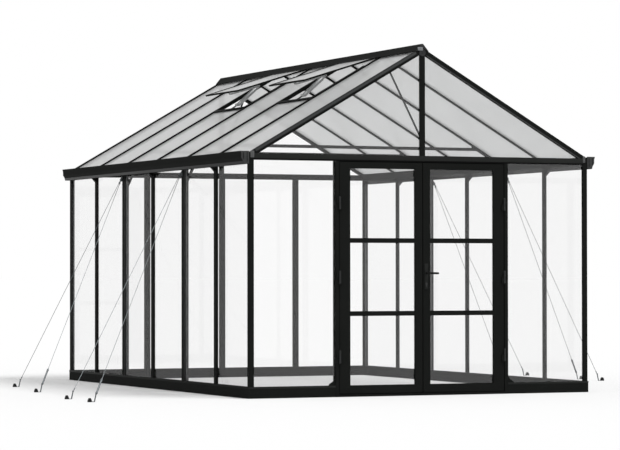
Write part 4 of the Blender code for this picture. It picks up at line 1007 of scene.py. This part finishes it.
# %% Ferrules, turnbuckles, stake heads and pegs
def guy_fittings(word):
    ferrule = [(0.0, 0.0), (0.0, 3.4), (1.0, 4.2), (17.0, 4.2), (18.0, 3.4), (18.0, 0.0)]
    turnbuckle = [(8.0, 0.0), (8.0, 7.5), (10.0, 9.0), (18.0, 9.0), (20.0, 7.2), (150.0, 7.2),
                  (152.0, 9.0), (160.0, 9.0), (162.0, 7.0), (174.0, 5.0), (174.0, 0.0)]
    stake_head = [(-4.0, 0.0), (-4.0, 6.5), (0.0, 7.5), (4.0, 6.0), (5.5, 0.0)]
    bm = bmesh.new()
    for number, (eye, hook, stake) in enumerate(guy_lines(word)[1]):
        down = (hook - eye).normalized()
        add_turned(bm, eye + down * 22.0 * MM, down, in_mm(ferrule), 12)
        if number:
            add_turned(bm, hook, -down, in_mm(turnbuckle), 14)
        else:
            add_turned(bm, hook - down * 34.0 * MM, down, in_mm(ferrule), 12)
        add_turned(bm, hook + Vector((0.0, 0.0, 3.0 * MM)), (0.0, 0.0, 1.0), in_mm(stake_head), 14)
    return finish_piece("guy_fittings_" + word, bm, zinc_wire)


def guy_pegs(word):
    side, lines = guy_lines(word)
    bm = bmesh.new()
    shape = ((-15.8, 0.0), (15.8, 0.0), (14.6, 12.0), (12.2, 19.5), (5.6, 30.8), (-5.6, 30.8),
             (-12.2, 19.5), (-14.6, 12.0))
    for eye, hook, stake in lines:
        x, y = stake.x + side * 38.0 * MM, stake.y
        add_bar(bm, [Vector((x + a * MM, y - 11.0 * MM, z * MM)) for a, z in shape],
                Vector((0.0, 22.0 * MM, 0.0)), 1.2 * MM)
    return finish_piece("guy_pegs_" + word, bm, black_nylon)


for word in guy_feet:
    guy_fittings(word)
    guy_pegs(word)
print("pairs of wires:", len(guy_feet))

# %% [markdown]
# ## Ground, sky and lamps
# The object stands on a white studio floor that fades into a white backdrop.  The floor has to stay
# white where nothing shades it and still show the soft shadow of the building.  So it is a pale
# matt surface with a little light of its own, and mirrors and sheets see it as plain white.  The
# sky works the same way: white to look at, and dimmer as a lamp.

# %% Floor
def floor_material(own_light):
    material, tree, output = new_material("white_studio_floor")
    rays = add(tree, "LightPath")
    seen = either(tree, rays.outputs["Is Glossy Ray"], rays.outputs["Is Transmission Ray"])
    matt = add(tree, "BsdfDiffuse", {"Color": linear("#e6e6e6")})
    own = add(tree, "Emission", {"Color": linear("#ffffff"), "Strength": own_light})
    lit = add(tree, "AddShader", None, {0: matt.outputs["BSDF"], 1: own.outputs["Emission"]})
    direct = add(tree, "MixShader", None, {0: rays.outputs["Is Camera Ray"], 1: matt.outputs["BSDF"],
                                           2: lit.outputs["Shader"]})
    white = add(tree, "Emission", {"Color": linear("#ffffff"), "Strength": 1.0})
    surface = add(tree, "MixShader", None, {0: seen, 1: direct.outputs["Shader"],
                                            2: white.outputs["Emission"]})
    tree.links.new(surface.outputs["Shader"], output.inputs["Surface"])
    return material


def build_floor(reach, own_light):
    mesh = bpy.data.meshes.new("studio_floor")
    corners = [(-reach, -reach, 0.0), (reach, -reach, 0.0), (reach, reach, 0.0), (-reach, reach, 0.0)]
    mesh.from_pydata(corners, [], [(0, 1, 2, 3)])
    floor = bpy.data.objects.new("studio_floor", mesh)
    floor.location.z = -0.5 * MM
    mesh.materials.append(floor_material(own_light))
    bpy.context.scene.collection.objects.link(floor)
    return floor


floor = build_floor(400.0, 0.04)
print("floor reaches", floor.dimensions.x / 2.0, "m each way")

# %% Sky and lamp
def build_sky(as_lamp):
    world = bpy.data.worlds.new("white_studio")
    world.use_nodes = True
    tree = world.node_tree
    tree.nodes.clear()
    rays = add(tree, "LightPath")
    mirror = either(tree, rays.outputs["Is Glossy Ray"], rays.outputs["Is Transmission Ray"])
    seen = either(tree, rays.outputs["Is Camera Ray"], mirror)
    sky = add(tree, "Background", {"Color": linear("#ffffff")},
              {"Strength": between(tree, as_lamp, 1.0, seen)})
    output = add(tree, "OutputWorld", None, {"Surface": sky.outputs["Background"]})
    bpy.context.scene.world = world
    return world


def build_sun(power, softness, toward):
    lamp = bpy.data.lights.new("soft_key", "SUN")
    lamp.energy = power
    lamp.angle = math.radians(softness)
    sun = bpy.data.objects.new("soft_key", lamp)
    sun.rotation_euler = Vector(toward).to_track_quat("-Z", "Y").to_euler()
    bpy.context.scene.collection.objects.link(sun)
    return sun


build_sky(0.50)
build_sun(2.55, 24.0, (-0.34, 0.42, -1.0))
bpy.context.scene.view_settings.view_transform = "Standard"
print("sky and lamp stand ready")

# %% [markdown]
# ## Camera
# The picture was taken from about 25 m away with a long lens and from the height of the lever, so
# upright lines stay upright.  Place, turn and lens come from matching the posts' feet and heads.

# %% Camera
def build_camera(place, tilt, roll, turn, lens):
    """A camera that looks along +y, tilted up, rolled and turned by so many radians."""
    camera = bpy.data.objects.new("camera", bpy.data.cameras.new("camera"))
    camera.location = place
    camera.rotation_euler = (math.pi / 2.0 + tilt, roll, turn)
    camera.data.sensor_width = 36.0
    camera.data.lens = lens
    camera.data.clip_end = 2000.0
    bpy.context.scene.collection.objects.link(camera)
    bpy.context.scene.camera = camera
    return camera


camera = build_camera((-9.9561, -22.8839, 0.9888), tilt=0.01686, roll=0.00104, turn=-0.40867, lens=164.98)
print("camera at", [round(value, 2) for value in camera.location])
